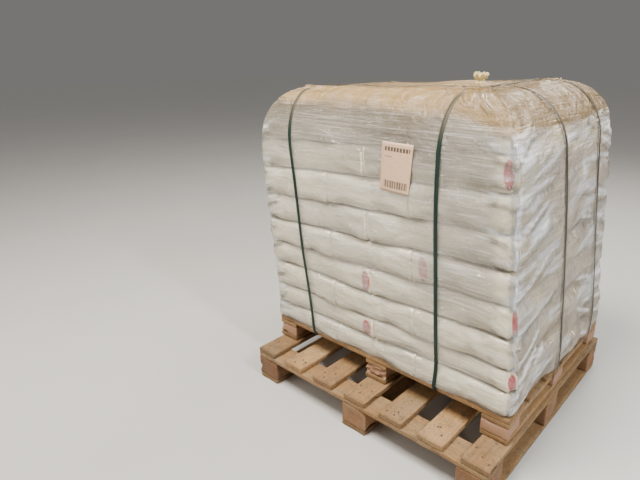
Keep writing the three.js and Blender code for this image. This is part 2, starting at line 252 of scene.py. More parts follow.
class SackSettings(bpy.types.PropertyGroup):
    """Sizes and colours of the sacks"""

    gap: metres("Gap", "Gap between the sacks of a layer", 0.0003)
    round_edge: metres("Edge Rounding", "Radius of a filled sack's edges", 0.015)
    crown: metres("Crown", "How far the free ends bulge between top and bottom edge", 0.021)
    back_crown: metres("Back Crown", "How far the back bulges", 0.013)
    front_crown: metres("Front Crown", "How far the flatter front bulges", 0.009)
    pressed_crown: metres("Pressed Crown", "Bulge of the sides that press on a neighbour", 0.002)
    corner_radius: metres("Corner Radius", "Radius of the load's upright corners", 0.055)
    cell: metres("Cell", "Cell size of the cloth mesh", 0.0125)
    slack: FloatProperty(
        name="Slack", description="How much larger the cloth is than the filled form",
        default=0.06, subtype="FACTOR")
    pressure: FloatProperty(
        name="Pressure", description="Pressure of the filling on the cloth", default=6.0)
    frames: IntProperty(
        name="Frames", description="Length of the cloth simulation", default=25)
    crease: metres("Crease", "Greatest move of the cloth from the filled form", 0.012)
    colour: paint("Sack Colour", "Colour of clean sack cloth", (0.76, 0.675, 0.485))
    print_colour: paint("Print Colour", "Colour of the plain oval print", (0.40, 0.0, 0.020))


class WrapSettings(bpy.types.PropertyGroup):
    """Sizes and colours of film, straps and label"""

    cell: metres("Film Cell", "Cell size of the film mesh", 0.0125)
    corner_radius: metres("Corner Radius", "Radius of the wrapped corners", 0.045)
    film_gap: metres("Film Gap", "Distance from the sacks to the film", 0.0018)
    film_thickness: metres("Film Thickness", "Thickness of the wound film", 0.0004)
    bridging: IntProperty(
        name="Bridging", description="How tautly the film spans the gaps between sacks",
        default=4)
    top_bridging: IntProperty(
        name="Top Bridging", description="How tautly the sheet spans the gaps on top",
        default=120)
    film_colour: paint("Film Colour", "Tint of the clear film", (0.80, 0.77, 0.69))
    # Also the colour of the painted shade on the right of the front
    dust_and_shade_colour: paint("Aged Film Colour", "Tint of the dusty upper film", (0.17, 0.125, 0.072))
    sheet_colour: paint("Top Sheet Colour", "Colour of the sheet over the crown",
                        (0.42, 0.265, 0.105))
    strap_width: metres("Strap Width", "Width of the strapping", 0.016)
    strap_thickness: metres("Strap Thickness", "Thickness of the strapping", 0.0009)
    strap_colour: paint("Strap Colour", "Colour of the front straps", (0.006, 0.022, 0.016))
    side_strap_colour: paint("Side Strap Colour", "Colour of the dusty side straps",
                             (0.050, 0.042, 0.028))
    label_colour: paint("Label Colour", "Colour of the paper label", (0.72, 0.47, 0.30))


class TimberSettings(bpy.types.PropertyGroup):
    """Wear and colours of the pallets' wood"""

    cell: metres("Timber Cell", "Cell length along a board", 0.016)
    edge_wear: metres("Edge Wear", "Width of the worn edges", 0.0022)
    roughness: metres("Sawn Roughness", "Unevenness of the sawn faces", 0.0009)
    nail_radius: metres("Nail Radius", "Radius of a nail's head", 0.0048)
    board_colour: paint("Board Colour", "Colour of the boards", (0.285, 0.160, 0.062))
    block_colour: paint("Block Colour", "Colour of the blocks", (0.27, 0.125, 0.052))


class StageSettings(bpy.types.PropertyGroup):
    """Camera and floor"""

    camera_place: FloatVectorProperty(
        name="Camera Place", description="Place of the camera", subtype="TRANSLATION",
        default=(1.1239, -1.9882, 1.5077))
    camera_yaw: bearing("Camera Yaw", "Turn of the camera to the left of +Y", 43.23)
    camera_pitch: bearing("Camera Pitch", "How far the camera looks down", 19.87)
    camera_roll: bearing("Camera Roll", "Roll of the camera", -0.58)
    focal_px: FloatProperty(
        name="Focal Length", description="Focal length in pixels of the photo's width",
        default=512.5)
    floor_colour: paint("Floor Colour", "Colour of the floor", (0.52, 0.505, 0.475))
    floor_size: metres("Floor Size", "Side of the floor", 60.0)


def settings(name):
    return getattr(bpy.context.scene, "pallet_" + name)


# From the square stack to the settled one

def waves(points, scale, seed, count=5):
    """Smooth unevenness between about -1 and 1, the same for equal points and seeds"""
    draw = np.random.default_rng(seed)
    total = np.zeros(len(points))
    for _ in range(count):
        direction = draw.normal(size=3)
        direction *= scale * draw.uniform(0.6, 1.6) / np.linalg.norm(direction)
        total += np.sin(points @ direction + draw.uniform(0, 2 * math.pi))
    return total / math.sqrt(2 * count)


def settle(points, keep=""):
    """Moves points of the square stack to where they lie in the leaning, pressed stack

    The crown isn't drawn in along the axis named by keep.
    """
    load = settings("load")
    square = np.array(points, float)
    rise = square[:, 2] - DECK_TOP
    moved = slumped(square, rise)
    draw_in(moved, rise, keep)
    across = (moved[:, 0] - LEFT) / (RIGHT - LEFT)
    level = moved[:, 2] - DECK_TOP
    right = pressed(level, TOPS_RIGHT)
    left = pressed(level, TOPS_LEFT)
    moved[:, 2] = np.where(level > 0, DECK_TOP + left + (right - left) * across, moved[:, 2])
    moved[:, 0] -= load.lean * np.maximum(0, level - load.lean_start)
    return moved


def slumped(square, rise):
    """Moves points by a slow and a quick unevenness that fades out towards the deck"""
    load = settings("load")
    moved = square.copy()
    fade = np.clip(rise / SLUMP_START, 0, 1)
    for axis, share in enumerate((0.5, 0.5, 1.0)):
        slow = waves(square, 5.5, load.seed + axis)
        quick = waves(square, 15.0, load.seed + 5 + axis)
        moved[:, axis] += load.slump * share * fade * (0.8 * slow + 0.45 * quick)
    return moved


def draw_in(moved, rise, keep):
    """Curves the crown's sides in"""
    load = settings("load")
    curve = np.clip((rise - load.shoulder_start) / (STACK_HEIGHT - load.shoulder_start), 0, 1)
    inset = load.shoulder_inset * (1 - np.sqrt(1 - curve ** 2))
    for axis, low, high in ((0, LEFT, RIGHT), (1, FRONT, BACK)):
        if "xy"[axis] != keep:
            share = (moved[:, axis] - (low + high) / 2) / ((high - low) / 2)
            moved[:, axis] -= inset * share ** 3


def even_shoulder(height):
    """Spreads evenly spaced heights so that they lie evenly along the crown's curve"""
    start = DECK_TOP + settings("load").shoulder_start
    span = DECK_TOP + STACK_HEIGHT - start
    share = (height - start) / span
    curved = start + span * np.sin(np.clip(share, 0, 1) * math.pi / 2)
    return np.where((share > 0) & (share < 1), curved, height)


def pressed(level, tops):
    """Height at one end of the stack of a level that is given for the square stack"""
    rise = (tops[-1] - tops[-2]) / (TOPS_RIGHT[-1] - TOPS_RIGHT[-2])
    beyond = np.maximum(0, level - TOPS_RIGHT[-1]) * rise
    return np.interp(level, TOPS_RIGHT, tops) + beyond


# Meshes

def points_of(mesh):
    flat = np.zeros(len(mesh.vertices) * 3, np.float32)
    mesh.vertices.foreach_get("co", flat)
    return flat.reshape(-1, 3).astype(float)


def set_points(mesh, points):
    mesh.vertices.foreach_set("co", np.asarray(points, np.float32).ravel())
    mesh.update()


def set_attribute(mesh, name, values):
    """Stores one number or one vector for each vertex, for the materials to read"""
    values = np.asarray(values, np.float32)
    kind = "FLOAT" if values.ndim == 1 else "FLOAT_VECTOR"
    field = "value" if values.ndim == 1 else "vector"
    mesh.attributes.new(name, kind, "POINT").data.foreach_set(field, values.ravel())


def mesh_of(bm, name):
    """Turns a bmesh into a mesh and frees it"""
    mesh = bpy.data.meshes.new(name)
    bm.to_mesh(mesh)
    bm.free()
    return mesh


def block(size):
    """A block of the given size around the origin"""
    bm = bmesh.new()
    bmesh.ops.create_cube(bm, size=1)
    bmesh.ops.scale(bm, vec=size, verts=bm.verts)
    return bm


def bevel(bm, edges, width, segments):
    bmesh.ops.bevel(bm, geom=edges, offset=width, segments=segments, affect="EDGES",
                    profile=0.5, material=-1)


def thickened(mesh, thickness):
    """A skin with even normals and a thickness, as a bmesh"""
    bm = bmesh.new()
    bm.from_mesh(mesh)
    bmesh.ops.recalc_face_normals(bm, faces=bm.faces[:])
    bmesh.ops.solidify(bm, geom=bm.faces[:], thickness=thickness)
    return bm


def tree_of(meshes):
    """A tree of all faces of some meshes, to cast rays at"""
    bm = bmesh.new()
    for mesh in meshes:
        bm.from_mesh(mesh)
    tree = BVHTree.FromBMesh(bm)
    bm.free()
    return tree


def make_piece(name, mesh, material, replaced=(), smooth=True):
    """Turns a mesh or bmesh into a finished piece that rides with the frame"""
    if isinstance(mesh, bmesh.types.BMesh):
        mesh = mesh_of(mesh, name)
    mesh.materials.clear()
    mesh.materials.append(material)
    mesh.polygons.foreach_set("use_smooth", [smooth] * len(mesh.polygons))
    piece = bpy.data.objects.new(name, mesh)
    bpy.context.scene.collection.objects.link(piece)
    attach(piece, BODY)
    if replaced:
        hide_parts(*replaced)
    return piece


# Materials

class Shader:
    """A material's node tree, built one node at a time"""

    def __init__(self, name):
        self.material = bpy.data.materials.new(name)
        self.material.use_nodes = True
        self.tree = self.material.node_tree
        self.surface = self.tree.nodes["Principled BSDF"]

    def put(self, socket, value):
        if isinstance(value, bpy.types.NodeSocket):
            self.tree.links.new(value, socket)
        else:
            socket.default_value = value

    def add(self, kind, inputs=None, **options):
        made = self.tree.nodes.new(kind)
        for key, value in options.items():
            setattr(made, key, value)
        for socket, value in (inputs or {}).items():
            self.put(made.inputs[socket], value)
        return made

    def finish(self, **inputs):
        for key, value in inputs.items():
            self.put(self.surface.inputs[key.replace("_", " ")], value)
        return self.material

    def attribute(self, name, output="Vector"):
        return self.add("ShaderNodeAttribute", attribute_name=name).outputs[output]

    def place(self):
        return self.add("ShaderNodeTexCoord").outputs["Object"]

    def stretch(self, vector, scale, turn=(0, 0, 0)):
        inputs = {"Vector": vector, "Scale": scale, "Rotation": turn}
        return self.add("ShaderNodeMapping", inputs).outputs["Vector"]

    def noise(self, vector, scale, detail=3.0, roughness=0.55, distortion=0.0):
        inputs = {"Vector": vector, "Scale": scale, "Detail": detail, "Roughness": roughness,
                  "Distortion": distortion}
        return self.add("ShaderNodeTexNoise", inputs).outputs["Fac"]

    def cells(self, vector, scale):
        """Distance from the middle of the nearest of many scattered cells"""
        inputs = {"Vector": vector, "Scale": scale}
        return self.add("ShaderNodeTexVoronoi", inputs).outputs["Distance"]

    def wave(self, vector, scale, axis="X", distortion=0.0, detail=2.0):
        inputs = {"Vector": vector, "Scale": scale, "Distortion": distortion, "Detail": detail}
        made = self.add("ShaderNodeTexWave", inputs, wave_type="BANDS", bands_direction=axis)
        return made.outputs["Fac"]

    def math(self, operation, *values, clamp=False):
        made = self.add("ShaderNodeMath", operation=operation, use_clamp=clamp)
        for socket, value in zip(made.inputs, values):
            self.put(socket, value)
        return made.outputs[0]

    def times(self, product, *values):
        """The product of fields and numbers"""
        for value in values:
            product = self.math("MULTIPLY", product, value)
        return product

    def total(self, first, *terms):
        """The sum of a field and of other fields, each with its share"""
        for value, share in terms:
            first = self.math("ADD", first, self.times(value, share))
        return first

    def band(self, value, low, high, to_low=0.0, to_high=1.0):
        """A smooth step of a value from one level to another"""
        inputs = {"Value": value, "From Min": low, "From Max": high, "To Min": to_low,
                  "To Max": to_high}
        made = self.add("ShaderNodeMapRange", inputs, interpolation_type="SMOOTHSTEP")
        return made.outputs["Result"]

    def mix(self, share, first, second, blend="MIX"):
        made = self.add("ShaderNodeMix", data_type="RGBA", blend_type=blend)
        self.put(made.inputs[0], share)
        self.put(made.inputs[6], first)
        self.put(made.inputs[7], second)
        return made.outputs[2]

    def over(self, shade, *coats):
        """Lays coats over a colour: field, its start and end, greatest share and tint"""
        for value, low, high, most, tint in coats:
            shade = self.mix(self.band(value, low, high, 0.0, most), shade, tint)
        return shade

    def split(self, vector):
        return self.add("ShaderNodeSeparateXYZ", {"Vector": vector}).outputs

    def bump(self, height, distance, strength=1.0, normal=None):
        inputs = {"Height": height, "Distance": distance, "Strength": strength}
        if normal is not None:
            inputs["Normal"] = normal
        return self.add("ShaderNodeBump", inputs).outputs["Normal"]


def colour(values, factor=1.0):
    return (*(min(1.0, channel * factor) for channel in values), 1.0)


def wood_material(name, tint, ring_scale, redness):
    """Rough sawn, dusty wood whose grain runs along the grain attribute's first axis"""
    shader = Shader(name)
    grain = shader.attribute("grain")
    figure = shader.wave(
        shader.stretch(grain, (0.5, 1.0, 1.0)), ring_scale, "Y", distortion=7.0, detail=3.0)
    fibre = shader.noise(shader.stretch(grain, (5.0, 150.0, 150.0)), 1.0, 4.0, 0.65)
    streak = shader.noise(shader.stretch(grain, (1.6, 22.0, 22.0)), 1.0, 3.0, 0.6)
    blotch = shader.noise(shader.stretch(grain, (3.5, 6.0, 6.0)), 1.0, 4.0, 0.6)
    knots = shader.cells(shader.stretch(grain, (2.6, 9.0, 9.0)), 1.0)
    grime = shader.noise(grain, 28.0, 5.0, 0.7)
    chaff = shader.noise(grain, 130.0, 3.0, 0.65)
    dark = colour((tint[0] * 0.60, tint[1] * 0.50, tint[2] * 0.42))
    shade = shader.over(
        colour(tint, 1.18),
        (figure, 0.1, 0.95, 0.20, dark),
        (streak, 0.42, 0.70, 0.40, dark),
        (fibre, 0.50, 0.78, 0.38, dark),
        (blotch, 0.42, 0.70, 0.60, colour(WOOD_DUST)),
        (blotch, 0.42, 0.25, 0.35, colour(redness)),
        (knots, 0.10, 0.03, 0.80, colour(WOOD_KNOT)),
        (grime, 0.48, 0.72, 0.75, colour(WOOD_GRIME)),
        (chaff, 0.56, 0.70, 0.70, colour(WOOD_SPECK)),
        (chaff, 0.42, 0.28, 0.45, colour(WOOD_CHAFF)),
    )
    # Dark specks for small holes: painted shade inside them
    holes = shader.times(shader.band(shader.cells(grain, 46.0), 0.22, 0.12),
                         shader.band(blotch, 0.50, 0.60), 0.8)
    shade = shader.mix(holes, shade, colour(WOOD_HOLE_SHADE))
    shade = shader.mix(shader.attribute("pale", "Fac"), shade, colour(WOOD_SPLINTERS))
    ends = shader.times(shader.attribute("end_face", "Fac"), 0.40)
    shade = shader.mix(ends, shade, colour(tint, 0.45))
    lighter = shader.band(shader.attribute("tone", "Fac"), 0.0, 1.0, 0.70, 1.16)
    grey = shader.add("ShaderNodeCombineXYZ", {"X": lighter, "Y": lighter, "Z": lighter})
    shade = shader.mix(1.0, shade, grey.outputs[0], "MULTIPLY")
    height = shader.total(shader.times(fibre, 0.7), (figure, 0.3))
    rough = shader.band(fibre, 0.2, 0.8, 0.72, 0.92)
    return shader.finish(Base_Color=shade, Roughness=rough,
                         Normal=shader.bump(height, 0.0012, 0.7))


def sack_material():
    """Off-white woven sack cloth, smudged, with a plain oval print and painted shade along the
    layer seams, under taut film
    """
    sack = settings("sack")
    shader = Shader("sack_cloth")
    place = shader.attribute("place")
    tone = shader.attribute("tone", "Fac")
    smudge = shader.noise(place, 4.5, 5.0, 0.6)
    dirt = shader.noise(shader.stretch(place, (9.0, 9.0, 3.0)), 2.0, 4.0, 0.65)
    # Painted shade: the cloth darkens towards each sack's top and bottom edge, where the layers
    # meet
    seam = shader.total(shader.attribute("seam", "Fac"),
                        (shader.band(smudge, 0.3, 0.7, -0.03, 0.03), 1.0))
    shade = shader.over(
        colour(sack.colour),
        (smudge, 0.45, 0.75, 0.45, colour(CLOTH_SMUDGE)),
        (dirt, 0.56, 0.80, 0.45, colour(CLOTH_DIRT)),
        (tone, 0.0, 1.0, 0.35, colour(CLOTH_PALE)),
        (tone, 0.65, 1.0, 0.30, colour(CLOTH_GREY)),
        (seam, 0.90, 1.0, 0.80, colour(CLOTH_SEAM_SHADE)),
    )
    mark = shader.split(shader.attribute("print_place"))
    reach = shader.total(shader.times(mark[0], mark[0]), (mark[1], mark[1]))
    worn = shader.noise(place, 60.0, 4.0, 0.7)
    oval = shader.times(shader.band(reach, 1.08, 0.80), mark[2],
                        shader.band(worn, 0.30, 0.55, 0.90, 1.0))
    shade = shader.mix(oval, shade, colour(sack.print_colour))
    parts = shader.split(place)
    across = shader.add("ShaderNodeCombineXYZ", {"X": shader.total(parts[1], (parts[2], 1.0))})
    tapes = 0.5 / WEAVE_PITCH
    weave = shader.total(shader.wave(place, tapes, "X"),
                         (shader.wave(across.outputs[0], tapes, "X"), 1.0))
    ripple = shader.noise(shader.stretch(place, (14.0, 14.0, 22.0)), 1.0, 4.0, 0.6, 0.6)
    cloth = shader.bump(ripple, 0.018, 0.7, shader.bump(weave, 0.0003, 0.25))
    level = shader.place()
    drawn = shader.noise(shader.stretch(level, (2.0, 2.0, 70.0)), 1.0, 4.0, 0.62, 0.3)
    crumple = shader.noise(shader.stretch(level, (9.0, 9.0, 14.0)), 1.0, 5.0, 0.62, 1.2)
    skin = shader.bump(shader.total(crumple, (drawn, 0.5)), 0.024, 0.9)
    return shader.finish(Base_Color=shade, Roughness=0.5, Coat_Weight=1.0,
                         Coat_Roughness=0.08, Normal=cloth, Coat_Normal=skin)


def film_streaks(shader, around, on_top, along, across, detail, distortion):
    """Streaks that run around the sides and from left to right over the top"""
    sides = shader.noise(
        shader.stretch(around, (along, along, across)), 1.0, detail, 0.62, distortion)
    top = shader.noise(
        shader.stretch(around, (along * 1.5, across * 0.6, along)), 1.0, detail, 0.62,
        distortion * 0.3)
    off_top = shader.math("SUBTRACT", 1.0, on_top)
    return shader.total(shader.times(top, on_top), (sides, off_top))


def film_fields(shader):
    """The fields that the film's look is mixed from"""
    around = shader.attribute("around")
    on_top = shader.attribute("on_top", "Fac")
    ridge = shader.attribute("ridge", "Fac")
    place = shader.place()
    field = {
        "ropes": film_streaks(shader, around, on_top, 1.2, 80.0, 4.0, 0.3),
        "fine": film_streaks(shader, around, on_top, 3.0, 210.0, 3.0, 0.2),
        "drawn": film_streaks(shader, around, on_top, 3.0, 24.0, 4.0, 0.6),
        "crumple": shader.noise(shader.stretch(around, (10.0, 10.0, 15.0)), 1.0, 5.0, 0.62, 1.2),
        "upright": shader.noise(shader.stretch(around, (90.0, 90.0, 3.5)), 1.0, 3.0, 0.6, 0.4),
        "cloud": shader.noise(place, 2.6, 3.0, 0.5),
        "patch": shader.noise(shader.stretch(place, (7.0, 7.0, 9.0)), 1.0, 3.0, 0.55, 0.8),
        "end_face": shader.attribute("end_face", "Fac"),
        # Painted highlight on the corner folds' crests, painted shade in the troughs below them
        "crest": shader.band(ridge, 0.1, 1.0),
        "trough": shader.band(ridge, -0.1, -1.0),
        "tinted": shader.band(shader.attribute("dust_and_shade", "Fac"), 0.0, 1.0),
        "rightward": shader.split(around)[0],
    }
    edge = shader.total(
        shader.attribute("top_sheet", "Fac"),
        (shader.band(field["drawn"], 0.2, 0.8, -0.22, 0.22), 1.0),
        (shader.band(field["cloud"], 0.25, 0.75, -0.16, 0.16), 1.0))
    field["covered"] = shader.band(edge, 0.20, 0.90)
    leaning = shader.stretch(around, (1.0, 1.0, 1.0), (FOLD_SLOPE, 0, 0))
    slanted = shader.noise(shader.stretch(leaning, (3.0, 3.4, 15.0)), 1.0, 2.0, 0.45, 0.15)
    bare = shader.times(field["end_face"], shader.band(field["covered"], 0.0, 1.0, 1.0, 0.3))
    # Painted highlight on the tops of the slanting folds on the ends, and painted brown shade in
    # their hollows
    field["glint_highlight"] = shader.times(shader.band(slanted, 0.52, 0.66), bare)
    field["hollow_shade"] = shader.times(shader.band(slanted, 0.48, 0.34), bare)
    field["pleated"] = shader.times(slanted, bare)
    # Painted reflection: a bluish-white band of streaks along the right-hand front corner
    gathered = shader.noise(shader.stretch(around, (70.0, 70.0, 9.0)), 1.0, 4.0, 0.6, 0.8)
    field["gathered"] = shader.times(
        shader.band(gathered, 0.34, 0.54), shader.attribute("shine", "Fac"),
        shader.band(field["patch"], 0.36, 0.52))
    return field


def film_alpha(shader, field):
    """How much of what is behind the film each of its fields hides"""
    alpha = shader.total(
        shader.band(field["cloud"], 0.35, 0.75, 0.12, 0.22),
        (shader.band(field["ropes"], 0.50, 0.72), 0.15),
        (shader.band(field["fine"], 0.50, 0.70), 0.12),
        (shader.band(field["upright"], 0.56, 0.74), 0.07),
        (field["crest"], 0.32),
        (field["trough"], 0.42),
        (field["end_face"], 0.24),
        (field["glint_highlight"], 0.20),
        (field["hollow_shade"], 0.20),
        (field["tinted"], 0.56),
    )
    sheet = shader.times(field["covered"], 0.72)
    alpha = shader.math("ADD", alpha, sheet, clamp=True)
    open_film = shader.math("SUBTRACT", 1.0, field["covered"])
    clearer = shader.times(shader.attribute("clearer", "Fac"), open_film)
    alpha = shader.times(alpha, shader.band(clearer, 0.0, 1.5, 1.0, 0.15))
    return shader.math("ADD", alpha, shader.times(field["gathered"], 0.60), clamp=True)


def film_shade(shader, field):
    """Colour of the clear and dusty film, and of the sheet over the crown"""
    wrap = settings("wrap")
    clear = shader.mix(field["tinted"], colour(wrap.film_colour), colour(wrap.dust_and_shade_colour))
    clear = shader.mix(shader.band(field["fine"], 0.35, 0.65, 0.45, 0.0), clear,
                       colour(FILM_DARK_STREAK))
    bright = shader.times(shader.band(field["fine"], 0.50, 0.72, 0.0, 0.6),
                          shader.band(field["tinted"], 0.0, 1.0, 1.0, 0.35))
    clear = shader.mix(bright, clear, colour(FILM_PALE_STREAK))
    patched = shader.mix(shader.band(field["patch"], 0.38, 0.66), colour(FILM_BEIGE),
                         colour(FILM_BROWN))
    for name, share, tint in (("end_face", 0.80, patched),
                              ("glint_highlight", 0.75, colour(FILM_GLINT_HIGHLIGHT)),
                              ("hollow_shade", 0.70, colour(FILM_HOLLOW_SHADE)),
                              ("crest", 0.90, colour(FILM_CREST_HIGHLIGHT)),
                              ("trough", 0.90, colour(FILM_TROUGH_SHADE)),
                              ("gathered", 1.00, colour(FILM_CORNER_HIGHLIGHT))):
        clear = shader.mix(shader.times(field[name], share), clear, tint)
    sheet = wrap.sheet_colour
    tan = shader.mix(shader.band(field["ropes"], 0.32, 0.70), colour(sheet, 0.86),
                     colour(sheet, 1.16))
    # The sheet is paler in patches, and darker towards the right: painted shade
    tan = shader.over(tan, (field["patch"], 0.45, 0.75, 0.35, colour(SHEET_PALE)),
                      (field["rightward"], 0.05, 0.55, 0.80, colour(sheet, 0.54)))
    return shader.mix(field["covered"], clear, tan)


def film_material():
    """Slightly milky stretch film with drawn-out streaks and a tan sheet on top"""
    shader = Shader("stretch_film")
    field = film_fields(shader)
    height = shader.total(
        shader.times(field["ropes"], 0.6), (field["drawn"], 0.8), (field["crumple"], 1.8),
        (field["fine"], 0.16), (field["pleated"], 4.0), (field["upright"], 0.20))
    return shader.finish(Base_Color=film_shade(shader, field), Alpha=film_alpha(shader, field),
                         Roughness=0.12, IOR=1.5, Specular_IOR_Level=1.0,
                         Normal=shader.bump(height, 0.018, 0.9))


def strap_material(name, tint, veil):
    """Embossed plastic strapping; veil is how milky the film over it makes it"""
    shader = Shader(name)
    along = shader.attribute("along")
    ribs = 0.5 / EMBOSS_PITCH
    emboss = shader.times(shader.wave(along, ribs, "X"), shader.wave(along, ribs, "Y"))
    scuff = shader.noise(shader.stretch(along, (6.0, 90.0, 1.0)), 1.0, 4.0, 0.65)
    worn = colour([channel * 2.2 + 0.03 for channel in tint])
    shade = shader.over(colour(tint), (scuff, 0.45, 0.80, 0.45, worn))
    film = shader.times(shader.attribute("under_film", "Fac"), veil)
    shade = shader.mix(film, shade, colour(STRAP_VEIL))
    return shader.finish(Base_Color=shade, Roughness=0.48, Specular_IOR_Level=0.3,
                         Normal=shader.bump(emboss, 0.0006, 0.5))


def label_material():
    """Plain label paper with a dashed line above and a row of bars below"""
    tint = settings("wrap").label_colour
    shader = Shader("label_paper")
    place = shader.attribute("sheet_place")
    across, up, _ = shader.split(place)
    speckle = shader.noise(place, 9.0, 5.0, 0.65)
    ink = 0.0
    for low, high, left, right, pitch, share in LABEL_ROWS:
        cell = shader.math("FRACT", shader.math("DIVIDE", across, pitch))
        marks = shader.times(
            shader.math("GREATER_THAN", up, low), shader.math("LESS_THAN", up, high),
            shader.math("GREATER_THAN", across, left), shader.math("LESS_THAN", across, right),
            shader.math("LESS_THAN", cell, share))
        ink = shader.math("MAXIMUM", marks, ink)
    ink = shader.times(ink, shader.band(speckle, 0.25, 0.5, 0.6, 0.92))
    paper = shader.over(colour(tint), (speckle, 0.40, 0.70, 0.35, colour(tint, 0.74)))
    shade = shader.mix(ink, paper, colour(LABEL_INK))
    return shader.finish(Base_Color=shade, Roughness=0.5, Coat_Weight=0.3,
                         Coat_Roughness=0.2, Normal=shader.bump(speckle, 0.001, 0.3))


def knot_material():
    """Many bunched layers of yellowed film, with painted shade in the pleats' hollows and a
    painted highlight on their tops
    """
    shader = Shader("gathered_film")
    pleat = shader.noise(
        shader.stretch(shader.place(), (160.0, 160.0, 26.0)), 1.0, 4.0, 0.6, 0.8)
    # Painted shade in the pleats' hollows and painted highlight on their tops
    shade = shader.over(colour(KNOT_SHADED_YELLOW), (pleat, 0.35, 0.68, 1.0, colour(KNOT_LIT_YELLOW)))
    return shader.finish(Base_Color=shade, Roughness=0.30, Coat_Weight=0.6,
                         Coat_Roughness=0.10, Normal=shader.bump(pleat, 0.006, 0.8))


def nail_material():
    """Dull, rusty nail heads"""
    shader = Shader("nail_steel")
    spots = shader.noise(shader.place(), 320.0, 4.0, 0.6)
    shade = shader.over(colour(NAIL_STEEL), (spots, 0.35, 0.65, 1.0, colour(NAIL_RUST)))
    return shader.finish(Base_Color=shade, Roughness=0.62, Metallic=0.7,
                         Normal=shader.bump(spots, 0.0004, 0.6))


def floor_material():
    """Plain pale floor with a faint unevenness of tone"""
    shader = Shader("plain_floor")
    tint = settings("stage").floor_colour
    faint = shader.noise(shader.place(), 1.3, 4.0, 0.6)
    shade = shader.over(colour(tint, 0.985), (faint, 0.3, 0.7, 1.0, colour(tint, 1.015)))
    return shader.finish(Base_Color=shade, Roughness=0.75)


# Timber

def timber_blank(size, long_axis):
    """A block with worn edges, cut into cells that are longest along its grain"""
    timber = settings("timber")
    trim = timber.roughness * 2
    bm = block([side - trim for side in size])
    bevel(bm, bm.edges[:], timber.edge_wear, 2)
    for axis, side in enumerate(size):
        cell = timber.cell if axis == long_axis else timber.cell * 0.8
        count = max(1, round(side / cell))
        inner = side - trim - 2 * timber.edge_wear
        for step in range(1, count):
            place, normal = Vector(), Vector()
            place[axis] = inner * (step / count - 0.5)
            normal[axis] = 1
            bmesh.ops.bisect_plane(bm, geom=bm.verts[:] + bm.edges[:] + bm.faces[:],
                                   plane_co=place, plane_no=normal)
    return bm


def timber_piece(node, material, draw, splintered=0.0):
    """Replaces a board or block of the frame with a worn one of the same size"""
    low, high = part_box(node)
    size = high - low
    is_block = "block" in node
    long_axis = 1 if is_block else max(range(3), key=lambda axis: size[axis])
    mesh = mesh_of(timber_blank(size, long_axis), node)
    points = points_of(mesh)
    offset = np.array([draw.uniform(-40, 40) for _ in range(3)])
    half = np.array(size) / 2
    share = points / half
    wear_timber(points, share, offset, half, long_axis, draw, splintered)
    order = [long_axis] + [axis for axis in range(3) if axis != long_axis]
    set_attribute(mesh, "grain", points[:, order] + offset)
    set_attribute(mesh, "end_face", np.abs(share[:, long_axis]) > 0.985)
    set_attribute(mesh, "tone", np.full(len(points), draw.random()))
    set_attribute(mesh, "pale", np.full(len(points), 0.85 if splintered else 0.0))
    set_points(mesh, points + np.array((low + high) / 2))
    piece = make_piece("worn_" + node, mesh, material, [node])
    piece.data.set_sharp_from_angle(angle=math.radians(24))


def wear_timber(points, share, offset, half, long_axis, draw, splintered):
    """Sawn unevenness, a few chipped edges and, on a broken piece, splintered faces"""
    roughness = settings("timber").roughness
    seed = int(draw.random() * 1e6)
    for axis in range(3):
        reach = np.abs(share[:, axis]) ** 6 * np.sign(share[:, axis])
        uneven = 1 + waves(points + offset, 70.0, seed + axis)
        points[:, axis] -= roughness * reach * uneven * 0.8
    chip_edges(points, share, half, long_axis, draw)
    if splintered:
        torn = waves(points * np.array([1.0, 0.35, 2.5]), 160.0, seed + 7, 7)
        front = np.clip((-share[:, 1] - 0.6) / 0.4, 0, 1)
        points[:, 1] += splintered * front * np.clip(0.5 + 0.7 * torn, 0, 1)


def chip_edges(points, share, half, long_axis, draw):
    """Breaks shallow chips, longer along the grain, out of the edges"""
    on_edge = np.sum(np.abs(share) > 0.86, axis=1) >= 2
    shorten = np.where(np.arange(3) == long_axis, 0.45, 1.0)
    for _ in range(CHIPS):
        centre = np.array([draw.uniform(-1, 1) for _ in range(3)]) * half
        snapped = draw.choice([axis for axis in range(3) if axis != long_axis])
        centre[snapped] = half[snapped] * draw.choice([-1, 1])
        radius = draw.uniform(0.012, 0.035)
        distance = np.linalg.norm((points - centre) * shorten, axis=1)
        depth = CHIP_DEPTH * np.clip(1 - distance / radius, 0, 1) * on_edge
        points -= share * depth[:, None]


def nail_heads(name, crossings, draw, material):
    """Nail heads, a few at each crossing of board and stringer, as one piece"""
    radius = settings("timber").nail_radius
    margin_x, margin_y = NAIL_MARGIN
    bm = bmesh.new()
    for low, high in crossings:
        for _ in range(NAILS_PER_CROSSING):
            x = draw.uniform(low.x + margin_x, high.x - margin_x)
            y = draw.uniform(low.y + margin_y, high.y - margin_y)
            tilt_x = draw.uniform(-NAIL_TILT, NAIL_TILT)
            tilt_y = draw.uniform(-NAIL_TILT, NAIL_TILT)
            place = Matrix.Translation((x, y, high.z - NAIL_SINK))
            place = place @ Euler((tilt_x, tilt_y, 0)).to_matrix().to_4x4()
            made = bmesh.ops.create_cone(
                bm, cap_ends=True, segments=14, radius1=radius, radius2=radius * 0.82,
                depth=NAIL_DEPTH, matrix=place)
            top = max(made["verts"][0].link_faces, key=lambda face: face.normal.z)
            bevel(bm, list(top.edges), 0.0004, 1)
    return make_piece(name, bm, material, smooth=False)


